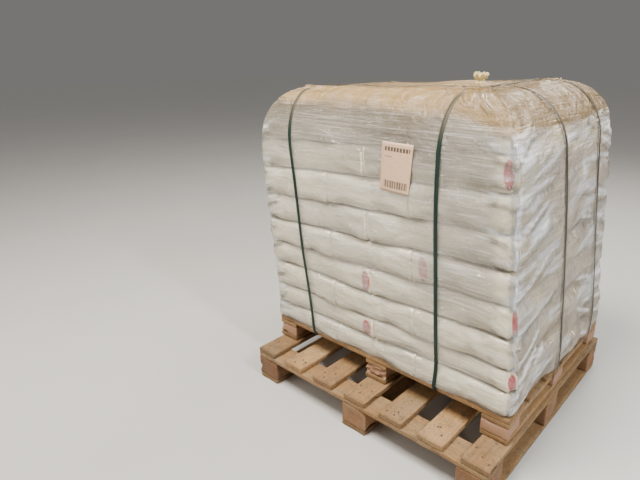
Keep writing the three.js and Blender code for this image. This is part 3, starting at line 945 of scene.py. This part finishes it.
def crossing_boxes(boards, carriers):
    """Where the tops of boards lie over the pieces that carry them"""
    found = []
    for board in boards:
        low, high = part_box(board)
        for carrier in carriers:
            other_low, other_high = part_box(carrier)
            first = Vector((max(low.x, other_low.x), max(low.y, other_low.y), high.z))
            last = Vector((min(high.x, other_high.x), min(high.y, other_high.y), high.z))
            found.append((first, last))
    return found


# Sacks

def filled_form():
    """A sack's smooth filled form with rounded edges, in even cells"""
    sack = settings("sack")
    bm = block(SACK_SIZE)
    bevel(bm, bm.edges[:], sack.round_edge, 3)
    form = bpy.data.objects.new("filled_form", mesh_of(bm, "filled_form"))
    bpy.context.scene.collection.objects.link(form)
    remesh = form.modifiers.new("Remesh", "REMESH")
    remesh.mode = "VOXEL"
    remesh.voxel_size = sack.cell
    form.data = evaluated_mesh(form)
    form.modifiers.clear()
    return form


def evaluated_mesh(piece):
    graph = bpy.context.evaluated_depsgraph_get()
    graph.update()
    return bpy.data.meshes.new_from_object(piece.evaluated_get(graph))


def creased_forms():
    """Filled forms whose cloth has been let loose, each with its own creases"""
    crease = settings("sack").crease
    forms = []
    for index in range(SACK_FORMS):
        form = filled_form()
        smooth = points_of(form.data)
        loose = smooth * FORM_SHRINK
        for axis in range(3):
            loose[:, axis] += FORM_UNEVEN * waves(smooth, 28.0, 100 * index + axis)
        set_points(form.data, loose)
        creased = let_loose(form) / FORM_SHRINK
        move = creased - smooth
        length = np.linalg.norm(move, axis=1, keepdims=True)
        move *= crease * np.tanh(length / crease) / np.maximum(length, 1e-9)
        forms.append((form.data, smooth + move))
        bpy.data.objects.remove(form)
    return forms


def let_loose(form):
    """Runs the cloth simulation of one form under pressure and returns its points"""
    sack = settings("sack")
    scene = bpy.context.scene
    cloth = form.modifiers.new("Cloth", "CLOTH")
    for key, value in CLOTH.items():
        setattr(cloth.settings, key, value)
    cloth.settings.uniform_pressure_force = sack.pressure
    cloth.settings.effector_weights.gravity = 0
    cloth.settings.shrink_min = cloth.settings.shrink_max = -sack.slack
    cloth.collision_settings.use_collision = False
    cloth.point_cache.frame_start = scene.frame_start = 1
    cloth.point_cache.frame_end = scene.frame_end = sack.frames
    for number in range(1, sack.frames + 1):
        scene.frame_set(number)
    points = points_of(evaluated_mesh(form))
    form.modifiers.clear()
    scene.frame_set(1)
    return points


def layer_plan(index):
    """Plan of a layer's sacks as (left, right, front, back, lies lengthways)"""
    ends_in_front = index % 2 == 0
    share = END_ROW_SHARE if ends_in_front else 1 - END_ROW_SHARE
    division = FRONT + (BACK - FRONT) * share
    gap = settings("sack").gap
    counts = (ENDS_ACROSS, LONGS_ACROSS) if ends_in_front else (LONGS_ACROSS, ENDS_ACROSS)
    rows = ((counts[0], FRONT, division - gap / 2), (counts[1], division + gap / 2, BACK))
    plan = []
    for count, front, back in rows:
        width = (RIGHT - LEFT - (count - 1) * gap) / count
        for place in range(count):
            left = LEFT + place * (width + gap)
            plan.append((left, left + width, front, back, count == LONGS_ACROSS))
    return plan


def side_crowns(box):
    """Bulge of a sack's left, right, front and back, smaller where it has a neighbour"""
    sack = settings("sack")
    edges = ((LEFT, sack.crown), (RIGHT, sack.crown), (FRONT, sack.front_crown),
             (BACK, sack.back_crown))
    return [crown if abs(side - edge) < 0.012 else sack.pressed_crown
            for side, (edge, crown) in zip(box, edges)]


def place_sack(form_points, box, levels, lengthways, draw):
    """Fits a creased form into a box of the square stack"""
    sack = settings("sack")
    unit = form_points / (np.array(SACK_SIZE) / 2)
    for axis in range(3):
        if draw.random() < 0.5:
            unit[:, axis] *= -1
    unit = np.clip(unit, -1.03, 1.03)
    if not lengthways:
        unit = unit[:, [1, 0, 2]]
    low = np.array([box[0], box[2], levels[0]])
    high = np.array([box[1], box[3], levels[1]])
    half = (high - low) / 2
    points = unit * half
    crowns = side_crowns(box)
    over = np.abs(unit[:, 2]) ** 2.6
    joints = []
    for axis in range(2):
        crown = np.where(unit[:, axis] < 0, crowns[2 * axis], crowns[2 * axis + 1])
        points[:, axis] -= crown * unit[:, axis] ** 3 * over
        joints.append(crown == sack.pressed_crown)
    for axes, joint in (([0, 1], joints[0] | joints[1]), ([0, 2], joints[0]),
                        ([1, 2], joints[1])):
        square = squared_corners(points[:, axes], half[axes], sack.round_edge * 1.15)
        points[:, axes] = np.where(joint[:, None], square, points[:, axes])
    return unit, rounded_corners(np.clip(points, -half, half) + (low + high) / 2)


def squared_corners(plan, half, radius):
    """Puts back what rounded corners lack, where two sacks press on each other"""
    into = np.clip(np.abs(plan) - (half - radius), 0, radius * 0.99)
    lack = radius - np.sqrt(radius ** 2 - into ** 2)
    facing = into >= into[:, ::-1]
    return plan + np.sign(plan) * np.where(facing, lack[:, ::-1], 0)


def rounded_corners(points):
    """Rounds the load's four upright corners in plan, and fills out the sacks' own edges"""
    radius = settings("sack").corner_radius
    edge = settings("sack").round_edge * 1.35
    low = np.array([LEFT + radius, FRONT + radius])
    high = np.array([RIGHT - radius, BACK - radius])
    core = np.clip(points[:, :2], low, high)
    out = points[:, :2] - core
    longest = np.abs(out).max(axis=1)
    length = np.linalg.norm(out, axis=1)
    uneven = np.clip((longest - np.abs(out).min(axis=1)) / edge, 0, 1)
    longest += 0.293 * edge * (1 - uneven) ** 1.8 * (longest / radius) ** 6
    share = np.where(length > 1e-9, longest / np.maximum(length, 1e-9), 1)
    return np.column_stack([core + out * share[:, None], points[:, 2]])


def sack_layer(index, forms, draw):
    """One layer's five sacks as one mesh, kept square for the film to be laid on"""
    levels = (DECK_TOP + TOPS_RIGHT[index] + LAYER_GAP,
              DECK_TOP + min(TOPS_RIGHT[index + 1], STACK_HEIGHT) - LAYER_GAP)
    bm = bmesh.new()
    fields = {"place": [], "print_place": [], "tone": [], "seam": []}
    for number, (*plan, lengthways) in enumerate(layer_plan(index)):
        mesh, form_points = forms[draw.randrange(len(forms))]
        box = drawn_back(plan, draw)
        unit, points = place_sack(form_points, box, levels, lengthways, draw)
        copy = mesh.copy()
        set_points(copy, points)
        bm.from_mesh(copy)
        bpy.data.meshes.remove(copy)
        lying = unit if lengthways else unit[:, [1, 0, 2]]
        offset = np.array([draw.uniform(-5, 5) for _ in range(3)])
        fields["place"].append(lying * np.array(SACK_SIZE) / 2 + offset)
        fields["print_place"].append(print_place(index, number, points, box, levels))
        fields["tone"].append(np.full(len(points), draw.random()))
        fields["seam"].append(np.abs(unit[:, 2]))
    bmesh.ops.recalc_face_normals(bm, faces=bm.faces[:])
    mesh = mesh_of(bm, f"sacks_{index + 1}")
    for name, values in fields.items():
        set_attribute(mesh, name, np.concatenate(values))
    return mesh


def drawn_back(plan, draw):
    """A sack's sides, those on the outside of the load each drawn back a little"""
    box = []
    for side, (outside, inward, most) in zip(plan, FREE_SIDES):
        move = draw.uniform(0.0, most) * inward
        box.append(side + move if side == outside else side)
    return box


def print_place(index, number, points, box, levels):
    """Place on the plain oval print of each point of a sack, in half widths of the oval"""
    result = np.zeros((len(points), 3))
    inset = PRINTS.get((index, number))
    if inset is None:
        result[:, 0] = NO_PRINT
        return result
    _, right, front, back = box
    low, high = levels
    half_width, half_height = PRINT_HALF
    around = points[:, 0] + points[:, 1] - front
    result[:, 0] = (around - (right - inset)) / half_width
    half_height = min(half_height, (high - low) / 2 * 0.82)
    result[:, 1] = (points[:, 2] - (low + high) / 2) / half_height
    result[:, 2] = points[:, 1] < (front + back) / 2
    return result


def print_windows(levels):
    """How much a level lies at an oval near the right-hand corner, where the film is clearer"""
    near = np.zeros(len(levels))
    for (layer, _), inset in PRINTS.items():
        if inset < 0.024:
            middle = (TOPS_RIGHT[layer] + TOPS_RIGHT[layer + 1]) / 2
            near = np.maximum(near, np.exp(-((levels - middle) / 0.05) ** 4))
    return near


# Film

def film_blank():
    """A block of cells around the square stack, open below"""
    cell = settings("wrap").cell
    size = (RIGHT - LEFT, BACK - FRONT, STACK_HEIGHT - FILM_HEM)
    middle = ((LEFT + RIGHT) / 2, (FRONT + BACK) / 2, DECK_TOP + (STACK_HEIGHT + FILM_HEM) / 2)
    bm = block(size)
    bmesh.ops.translate(bm, vec=middle, verts=bm.verts)
    cut_evenly(bm, [round(side / cell) for side in size])
    floor = DECK_TOP + FILM_HEM
    below = [face for face in bm.faces if face.calc_center_median().z < floor + 1e-5]
    bmesh.ops.delete(bm, geom=below, context="FACES")
    return bm


def cut_evenly(bm, counts):
    """Cuts a block into cells, a count for each axis"""
    for axis, count in enumerate(counts):
        edges = [
            edge for edge in bm.edges
            if abs((edge.verts[0].co - edge.verts[1].co).normalized()[axis]) > 0.99
        ]
        bmesh.ops.subdivide_edges(bm, edges=edges, cuts=count - 1, use_grid_fill=True)


def film_rays(points):
    """Foot and outward direction of the ray through each point of the blank"""
    radius = settings("wrap").corner_radius
    low = np.array([LEFT + radius, FRONT + radius, DECK_TOP - 1])
    high = np.array([RIGHT - radius, BACK - radius, DECK_TOP + STACK_HEIGHT - radius * 0.5])
    base = np.clip(points, low, high)
    outward = points - base
    return base, outward / np.linalg.norm(outward, axis=1, keepdims=True)


def sack_reach(tree, base, outward):
    """How far from its foot the sacks reach along each ray"""
    reach = np.full(len(base), -FILM_REACH)
    for index, (start, direction) in enumerate(zip(base, outward)):
        far = Vector(start + direction * FILM_REACH)
        hit = tree.ray_cast(far, Vector(-direction), 2 * FILM_REACH)
        if hit[0] is not None:
            reach[index] = FILM_REACH - hit[3]
    return reach


def lay_film(layer_meshes):
    """Shrinks the blank onto the sacks, then lets it bridge the gaps between them"""
    wrap = settings("wrap")
    mesh = mesh_of(film_blank(), "stretch_film_wrap")
    points = points_of(mesh)
    points[:, 2] = even_shoulder(points[:, 2])
    base, outward = film_rays(points)
    ends = np.zeros(len(mesh.edges) * 2, np.int32)
    mesh.edges.foreach_get("vertices", ends)
    edges = ends.reshape(-1, 2)
    close = bridge(sack_reach(tree_of(layer_meshes), base, outward), edges, wrap.bridging)
    smooth = bridge(close, edges, wrap.top_bridging)
    crown = np.clip((points[:, 2] - DECK_TOP - 0.96) / 0.10, 0, 1)
    strap = strap_distance(points)
    beside = np.exp(-(strap / 0.060) ** 2)
    reach = close + (smooth - close) * np.maximum(beside, crown * crown * (3 - 2 * crown))
    drop, crest = corner_folds(points, outward)
    reach = np.maximum(reach, smooth - drop)
    clear = np.clip(strap / 0.030 - 0.4, 0, 1)
    lift = wrap.film_gap + film_ropes(points) * clear + knot_folds(points, outward)
    set_attribute(mesh, "ridge", crest * clear)
    return mesh, points, outward, base + outward * (reach + lift)[:, None]


def bridge(height, edges, rounds):
    """Pulls a skin taut over an uneven surface that it can't pass through"""
    count = np.bincount(edges.ravel(), minlength=len(height))
    skin = height.copy()
    for _ in range(rounds):
        total = np.bincount(edges[:, 0], skin[edges[:, 1]], len(height))
        total += np.bincount(edges[:, 1], skin[edges[:, 0]], len(height))
        skin = np.maximum(height, total / count)
    return skin


def film_ropes(points):
    """Height of the film's drawn ropes, which run around the load"""
    ropes = np.clip(1 - np.abs(waves(points * np.array([0.8, 0.8, 16]), 3.0, 71, 6)), 0, 1)
    return ROPE_HEIGHT * ropes ** 4


def knot_folds(points, outward):
    """Height of the folds on top that run together at the knot"""
    draw = np.random.default_rng(settings("load").seed + 60)
    x, y = points[:, 0] - KNOT_PLACE[0], points[:, 1] - KNOT_PLACE[1]
    far = np.hypot(x, y)
    height = np.zeros(len(points))
    for _ in range(KNOT_FOLDS):
        angle = draw.uniform(0, 2 * math.pi)
        length = draw.uniform(0.14, 0.42)
        run = x * math.cos(angle) + y * math.sin(angle)
        off = np.abs(y * math.cos(angle) - x * math.sin(angle))
        ridge = np.exp(-(off / (0.010 + 0.03 * far)) ** 2) * (run > 0)
        height = np.maximum(height, ridge * np.clip(1 - far / length, 0, 1))
    return KNOT_FOLD_HEIGHT * height * np.clip(outward[:, 2] * 2 - 1, 0, 1)


def corner_folds(points, outward):
    """Slanting folds at the corners: drop below the taut film, crests less troughs"""
    draw = np.random.default_rng(settings("load").seed + 40)
    across, ahead = outward[:, 0], outward[:, 1]
    sides = (
        (1, FRONT, 1, across > 0.35, 1.0), (1, BACK, -1, across > 0.35, 0.8),
        (1, FRONT, 1, across < -0.35, 0.8), (1, BACK, -1, across < -0.35, 0.8),
        (0, RIGHT, -1, ahead < -0.5, 0.18), (0, LEFT, 1, ahead < -0.5, 0.18),
        (0, RIGHT, -1, ahead > 0.6, 0.7), (0, LEFT, 1, ahead > 0.6, 0.7),
    )
    drop = np.full(len(points), 1.0)
    crest, trough = np.zeros((2, len(points)))
    for axis, corner, way, side, reach in sides:
        along = (points[:, axis] - corner) * way
        for level in TOPS_RIGHT[:-1]:
            height = points[:, 2] - DECK_TOP - level
            for _ in range(FOLDS_PER_LEVEL):
                lower, ridge, shade = slanting_fold(along, height, reach, draw)
                drop = np.where(side, np.minimum(drop, lower), drop)
                crest = np.where(side, np.maximum(crest, ridge), crest)
                trough = np.where(side, np.maximum(trough, shade), trough)
    return drop, crest - trough * (1 - crest)


def slanting_fold(along, height, reach, draw):
    """Drop, crest and trough of one fold that climbs away from a corner"""
    slope = math.radians(draw.uniform(4, 23))
    up = height - draw.uniform(-0.05, 0.05)
    run = along * math.cos(slope) + up * math.sin(slope)
    above = up * math.cos(slope) - along * math.sin(slope)
    length = reach * draw.uniform(0.16, 0.46)
    beyond = np.maximum(0, run - length) + np.maximum(0, -0.02 - run)
    steep = draw.uniform(0.26, 0.5)
    drop = np.abs(above) * steep + beyond * 0.35 + draw.uniform(0.0, 0.008)
    fade = np.clip(1 - beyond / 0.05, 0, 1)
    crest = fade * np.exp(-(above / 0.012) ** 2)
    trough = fade * np.exp(-((above + 0.028) / 0.013) ** 2)
    return drop, crest, trough


def film_dust_and_shade(points, blank, outward, edge):
    """How dusty the film is, most near the sheet's edge, plus painted shade that greys the right
    of the front
    """
    cleaner = np.clip((blank[:, 0] - 0.20) / 0.30, 0, 1) * np.clip(-outward[:, 1] * 3, 0, 1)
    dust_and_shade = np.clip(1 - (edge - points[:, 2]) / 0.34, 0, 1)
    dust_and_shade = dust_and_shade * (1 - 0.6 * cleaner) + 0.15 * waves(points, 7.0, 83)
    # Painted shade: greys the right of the front above the lowest layers
    right_shade = np.clip((blank[:, 0] - 0.10) / 0.25, 0, 1) * (outward[:, 1] < -0.5)
    right_shade *= np.clip((blank[:, 2] - DECK_TOP - 0.20) / 0.20, 0, 1)
    return np.maximum(dust_and_shade, dust_and_shade * 0.5 + 0.36 * right_shade)


def finish_film(film, blank, outward, taut):
    """Settles the film, stores what its material reads and gives it its thickness"""
    points = settle(taut)
    set_points(film, points)
    beside = np.clip((blank[:, 0] - RIGHT + 0.10) / 0.04, 0, 1) * (outward[:, 1] < -0.3)
    rounded = np.clip(np.abs(outward[:, 0] * outward[:, 1]) * 4 - 0.8, 0, 1)
    window = print_windows(blank[:, 2] - DECK_TOP) * beside
    # Where the painted reflection band lies: around the right-hand front corner, off the top
    turn = np.degrees(np.arctan2(-outward[:, 1], outward[:, 0]))
    shine = np.exp(-((turn - SHINE_TURN) / SHINE_SPREAD) ** 2) * (outward[:, 2] < 0.5)
    turned = np.clip((blank[:, 0] - 0.35) / 0.25, 0, 1) * np.clip(outward[:, 0] + 1, 0, 1)
    edge = SHEET_EDGE - SHEET_DROP * turned
    fields = {
        "around": np.column_stack([blank[:, :2], points[:, 2]]),
        "clearer": np.maximum(beside, rounded) + 0.5 * window,
        "on_top": np.clip(outward[:, 2] * 2 - 0.5, 0, 1),
        "shine": shine * (1 - window),
        "end_face": np.clip(np.abs(outward[:, 0]) * 2.5 - 0.9, 0, 1),
        "top_sheet": 0.5 + (points[:, 2] - edge) * 12,
        "dust_and_shade": film_dust_and_shade(points, blank, outward, edge),
    }
    for name, values in fields.items():
        set_attribute(film, name, values)
    skin = thickened(film, settings("wrap").film_thickness)
    make_piece("stretch_film_wrap", skin, film_material(), ["stretch_film"])


# Straps

def strap_middle(height, low, high, bend):
    """Where a strap's middle lies across its run, at each height"""
    share = np.clip((height - DECK_TOP) / STACK_HEIGHT, 0, 1)
    return low + (high - low) * share ** bend


def strap_distance(points):
    """Distance of each point from the middle of the nearest strap"""
    nearest = np.full(len(points), 9.0)
    for runs, low, high, bend, _ in STRAPS.values():
        across = points[:, 0] if runs == "depth" else points[:, 1]
        middle = strap_middle(points[:, 2], low, high, bend)
        nearest = np.minimum(nearest, np.abs(across - middle))
    return nearest


def strap_course(runs, above):
    """Corner points of a strap's closed course in its own plane"""
    deck_low, deck_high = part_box("upper_deck_board_1")
    if runs == "depth":
        under = deck_low.z - STRAP_OFF_WOOD
        low, high, pallet_low = FRONT, BACK, deck_low.y
        pallet_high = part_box("upper_deck_board_6")[1].y
    else:
        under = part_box("upper_stringer_left")[0].z - STRAP_OFF_WOOD
        low, high, pallet_low, pallet_high = LEFT, RIGHT, deck_low.x, deck_high.x
    knee = DECK_TOP + STRAP_LIFT
    top = DECK_TOP + STACK_HEIGHT + STRAP_LIFT + above
    corners = [
        (pallet_low - STRAP_OFF_WOOD, under), (low - STRAP_OFF_SACKS, knee),
        (low - STRAP_OFF_SACKS, top), (high + STRAP_OFF_SACKS, top),
        (high + STRAP_OFF_SACKS, knee), (pallet_high + STRAP_OFF_WOOD, under),
    ]
    return np.array(corners + corners[:1])


def strap_ring(name):
    """A band's mesh, with the share of a full turn and the offset across of its points"""
    bm = bmesh.new()
    bmesh.ops.create_cone(bm, cap_ends=False, segments=STRAP_STEPS, radius1=1, radius2=1,
                          depth=settings("wrap").strap_width)
    mesh = mesh_of(bm, name)
    ring = points_of(mesh)
    angle = np.mod(np.arctan2(ring[:, 1], ring[:, 0]), 2 * math.pi)
    turn = np.round(angle / (2 * math.pi) * STRAP_STEPS) % STRAP_STEPS / STRAP_STEPS
    return mesh, turn, ring[:, 2]


def strap_piece(name, material):
    """A taut band that follows the film's corners and runs under the upper pallet"""
    runs, low, high, bend, above = STRAPS[name]
    closed = strap_course(runs, above)
    lengths = np.linalg.norm(np.diff(closed, axis=0), axis=1)
    reached = np.concatenate([[0], np.cumsum(lengths)])
    mesh, turn, offset = strap_ring(name)
    travel = turn * reached[-1]
    along = np.interp(travel, reached, closed[:, 0])
    height = even_shoulder(np.interp(travel, reached, closed[:, 1]))
    middle = strap_middle(height, low, high, bend)
    edge = offset + STRAP_SWAY * np.sin(travel * 2.3 + low * 9)
    if runs == "depth":
        points = settle(np.stack([middle + edge, along, height], axis=1), "x")
    else:
        points = settle(np.stack([along, middle - edge, height], axis=1), "y")
    set_points(mesh, points)
    set_attribute(mesh, "along", np.stack([travel, offset, 0 * travel], axis=1))
    set_attribute(mesh, "under_film", np.clip((points[:, 2] - 1.22) / 0.10, 0, 1))
    band = thickened(mesh, settings("wrap").strap_thickness)
    return make_piece(name + "_band", band, material, [name])


# Label and knot

def label_piece(material):
    """A stiff paper label, laid on the film as flat as the sacks below it let it lie"""
    low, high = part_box("paper_label")
    middle = (low + high) / 2
    bm = bmesh.new()
    bmesh.ops.create_grid(bm, x_segments=14, y_segments=20, size=0.5)
    mesh = mesh_of(bm, "label_sheet")
    flat = points_of(mesh)
    turn = math.radians(LABEL_TURN)
    x, z = flat[:, 0] * LABEL_WIDTH, flat[:, 1] * LABEL_HEIGHT
    across = middle.x + x * math.cos(turn) + z * math.sin(turn)
    up = middle.z - x * math.sin(turn) + z * math.cos(turn)
    tree = tree_of([bpy.data.objects["stretch_film_wrap"].data])
    ahead = Vector((0, 1, 0))
    lies = np.array([tree.ray_cast(Vector((a, low.y - 0.2, b)), ahead)[0].y
                     for a, b in zip(across, up)])
    terms = np.stack([np.ones(len(x)), x, z, x * x, z * z, x * z], axis=1)
    fit = terms @ np.linalg.lstsq(terms, lies, rcond=None)[0]
    lift = max(0.0, float(np.max(fit - lies))) + LABEL_GAP
    curl = LABEL_CURL * np.sin(flat[:, 0] * 9 + 1)
    set_points(mesh, np.stack([across, fit - lift - curl, up], axis=1))
    set_attribute(mesh, "sheet_place", np.column_stack([flat[:, :2] + 0.5, 0 * x]))
    sheet = thickened(mesh, LABEL_THICKNESS)
    return make_piece("label_sheet", sheet, material, ["paper_label"])


def knot_piece(material):
    """The bunched, twisted end of the film with its ruffled tip"""
    low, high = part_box("film_knot")
    middle = (low + high) / 2
    size = high - low
    bm = bmesh.new()
    bmesh.ops.create_cone(bm, cap_ends=True, segments=48, radius1=1, radius2=1, depth=1)
    upright = [edge for edge in bm.edges if abs(edge.verts[0].co.z - edge.verts[1].co.z) > 0.5]
    bmesh.ops.subdivide_edges(bm, edges=upright, cuts=22)
    mesh = mesh_of(bm, "film_knot_twist")
    ring = points_of(mesh)
    rise = ring[:, 2] + 0.5
    angle = np.arctan2(ring[:, 1], ring[:, 0]) + rise * 2.4
    ruffle = np.clip(rise * 2 - 0.6, 0, 1)
    pleats = 1 + 0.12 * np.sin(angle * 9) + 0.08 * np.sin(angle * 5 + rise * 6)
    pleats += ruffle * (0.10 * np.sin(angle * 4 + 1) + 0.07 * np.sin(angle * 13 + rise * 9))
    reach = np.interp(rise, KNOT_RISES, KNOT_WIDTHS) * pleats * 0.42
    tip = 0.10 * ruffle * np.sin(angle * 6) + 0.05 * ruffle * np.sin(angle * 11 + 2)
    spread = np.hypot(ring[:, 0], ring[:, 1])
    set_points(mesh, np.stack([
        middle.x + size.x * reach * np.cos(angle) * spread,
        middle.y + size.y * reach * np.sin(angle) * spread,
        low.z + size.z * (0.02 + 0.86 * rise + tip * spread)], axis=1))
    return make_piece("film_knot_twist", mesh, material, ["film_knot"])


# Operators

class PALLET_OT_lower_pallet(bpy.types.Operator):
    """Build the larger pallet that stands on the floor"""

    bl_idname = "pallet.lower_pallet"
    bl_label = "Lower Pallet"

    def execute(self, context):
        timber = settings("timber")
        draw = random.Random(settings("load").seed)
        boards = wood_material("board_wood", timber.board_colour, 16.0, BOARD_RED)
        blocks = wood_material("block_wood", timber.block_colour, 30.0, BLOCK_RED)
        names = sorted(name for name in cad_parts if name.startswith("lower_"))
        for name in names:
            timber_piece(name, blocks if "block" in name else boards, draw)
        deck = [name for name in names if "deck_board" in name]
        stringers = [name for name in names if "stringer" in name]
        nail_heads("lower_nails", crossing_boxes(deck, stringers), draw, nail_material())
        return {"FINISHED"}


class PALLET_OT_upper_pallet(bpy.types.Operator):
    """Build the low pallet under the sacks"""

    bl_idname = "pallet.upper_pallet"
    bl_label = "Upper Pallet"

    def execute(self, context):
        draw = random.Random(settings("load").seed + 1)
        boards = bpy.data.materials["board_wood"]
        blocks = bpy.data.materials["block_wood"]
        for name in sorted(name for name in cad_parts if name.startswith("upper_")):
            torn = SPLINTER_DEPTH if name == "upper_block_front_middle" else 0.0
            timber_piece(name, blocks if "block" in name else boards, draw, torn)
        return {"FINISHED"}


class PALLET_OT_sacks(bpy.types.Operator):
    """Fill, crease and stack the sacks, and lay the film over them"""

    bl_idname = "pallet.sacks"
    bl_label = "Sacks and Film"

    def execute(self, context):
        draw = random.Random(settings("load").seed + 2)
        forms = creased_forms()
        material = sack_material()
        meshes = [sack_layer(index, forms, draw) for index in range(LAYERS)]
        film, blank, outward, taut = lay_film(meshes)
        for number, mesh in enumerate(meshes, 1):
            set_points(mesh, settle(points_of(mesh)))
            piece = make_piece(f"sacks_{number}", mesh, material,
                               [f"sack_layer_{number}"])
            piece.data.set_sharp_from_angle(angle=math.radians(75))
        finish_film(film, blank, outward, taut)
        return {"FINISHED"}


class PALLET_OT_straps(bpy.types.Operator):
    """Draw the four straps around the load"""

    bl_idname = "pallet.straps"
    bl_label = "Straps"

    def execute(self, context):
        wrap = settings("wrap")
        crisp = strap_material("strap_plastic", wrap.strap_colour, 0.55)
        veiled = strap_material("strap_plastic_side", wrap.side_strap_colour, 0.5)
        for name in STRAPS:
            strap_piece(name, crisp if "front" in name else veiled)
        return {"FINISHED"}


class PALLET_OT_label(bpy.types.Operator):
    """Put the paper label on the film"""

    bl_idname = "pallet.label"
    bl_label = "Label"

    def execute(self, context):
        label_piece(label_material())
        return {"FINISHED"}


class PALLET_OT_knot(bpy.types.Operator):
    """Twist the film's end into a knot on top"""

    bl_idname = "pallet.knot"
    bl_label = "Film Knot"

    def execute(self, context):
        knot_piece(knot_material())
        return {"FINISHED"}


class PALLET_OT_stage(bpy.types.Operator):
    """Set up the floor, the lights and the camera"""

    bl_idname = "pallet.stage"
    bl_label = "Stage"

    def execute(self, context):
        stage = settings("stage")
        bm = bmesh.new()
        bmesh.ops.create_grid(bm, x_segments=1, y_segments=1, size=stage.floor_size / 2)
        mesh = mesh_of(bm, "floor")
        mesh.materials.append(floor_material())
        floor = self.link("floor", mesh)
        for lamp in LAMPS:
            self.add_lamp(*lamp)
        wash = bpy.data.lights.new("soft_wash", "SUN")
        wash.energy = WASH_POWER
        wash.angle = WASH_ANGLE
        self.link("soft_wash", wash).rotation_euler = (WASH_TILT, 0, 0)
        world = bpy.data.worlds.new("pale_room")
        world.use_nodes = True
        background = world.node_tree.nodes["Background"]
        background.inputs["Color"].default_value = ROOM_COLOUR
        background.inputs["Strength"].default_value = ROOM_STRENGTH
        context.scene.world = world
        self.add_camera(stage)
        return {"FINISHED"}

    def link(self, name, data):
        made = bpy.data.objects.new(name, data)
        bpy.context.scene.collection.objects.link(made)
        return made

    def add_lamp(self, name, place, target, power, size, tint):
        light = bpy.data.lights.new(name, "AREA")
        light.energy = power
        light.shape = "RECTANGLE"
        light.size, light.size_y = size
        light.color = tint
        lamp = self.link(name, light)
        lamp.location = place
        lamp.visible_camera = False
        aim = Vector(target) - Vector(place)
        lamp.rotation_euler = aim.to_track_quat("-Z", "Y").to_euler()

    def add_camera(self, stage):
        camera = bpy.data.cameras.new("photo_camera")
        camera.sensor_width = SENSOR_WIDTH_MM
        camera.lens = stage.focal_px / PHOTO_WIDTH_PX * SENSOR_WIDTH_MM
        holder = self.link("photo_camera", camera)
        turn = Matrix.Rotation(stage.camera_yaw, 3, "Z")
        turn = turn @ Matrix.Rotation(math.pi / 2 - stage.camera_pitch, 3, "X")
        turn = turn @ Matrix.Rotation(stage.camera_roll, 3, "Z")
        holder.rotation_euler = turn.to_euler()
        holder.location = stage.camera_place
        bpy.context.scene.camera = holder


class PALLET_PT_panel(bpy.types.Panel):
    """Lists the steps of the build in the sidebar"""

    bl_idname = "PALLET_PT_panel"
    bl_label = "Pallet Load"
    bl_space_type = "VIEW_3D"
    bl_region_type = "UI"
    bl_category = "Pallet Load"

    def draw(self, context):
        for operator in STEPS:
            self.layout.operator(operator.bl_idname)
        for group in GROUPS:
            box = self.layout.box()
            box.label(text=group)
            values = getattr(context.scene, "pallet_" + group)
            for key in values.bl_rna.properties.keys():
                if key not in ("name", "rna_type"):
                    box.prop(values, key)


GROUPS = {"load": LoadSettings, "sack": SackSettings, "wrap": WrapSettings,
          "timber": TimberSettings, "stage": StageSettings}
STEPS = (PALLET_OT_lower_pallet, PALLET_OT_upper_pallet, PALLET_OT_sacks, PALLET_OT_straps,
         PALLET_OT_label, PALLET_OT_knot, PALLET_OT_stage)
CLASSES = (*GROUPS.values(), *STEPS, PALLET_PT_panel)


def register():
    for made in CLASSES:
        bpy.utils.register_class(made)
    for name, group in GROUPS.items():
        setattr(bpy.types.Scene, "pallet_" + name, PointerProperty(type=group))


def unregister():
    for name in GROUPS:
        delattr(bpy.types.Scene, "pallet_" + name)
    for made in reversed(CLASSES):
        bpy.utils.unregister_class(made)


def main():
    register()
    bpy.ops.pallet.lower_pallet()
    bpy.ops.pallet.upper_pallet()
    bpy.ops.pallet.sacks()
    bpy.ops.pallet.straps()
    bpy.ops.pallet.label()
    bpy.ops.pallet.knot()
    bpy.ops.pallet.stage()


if __name__ == "__main__":
    main()
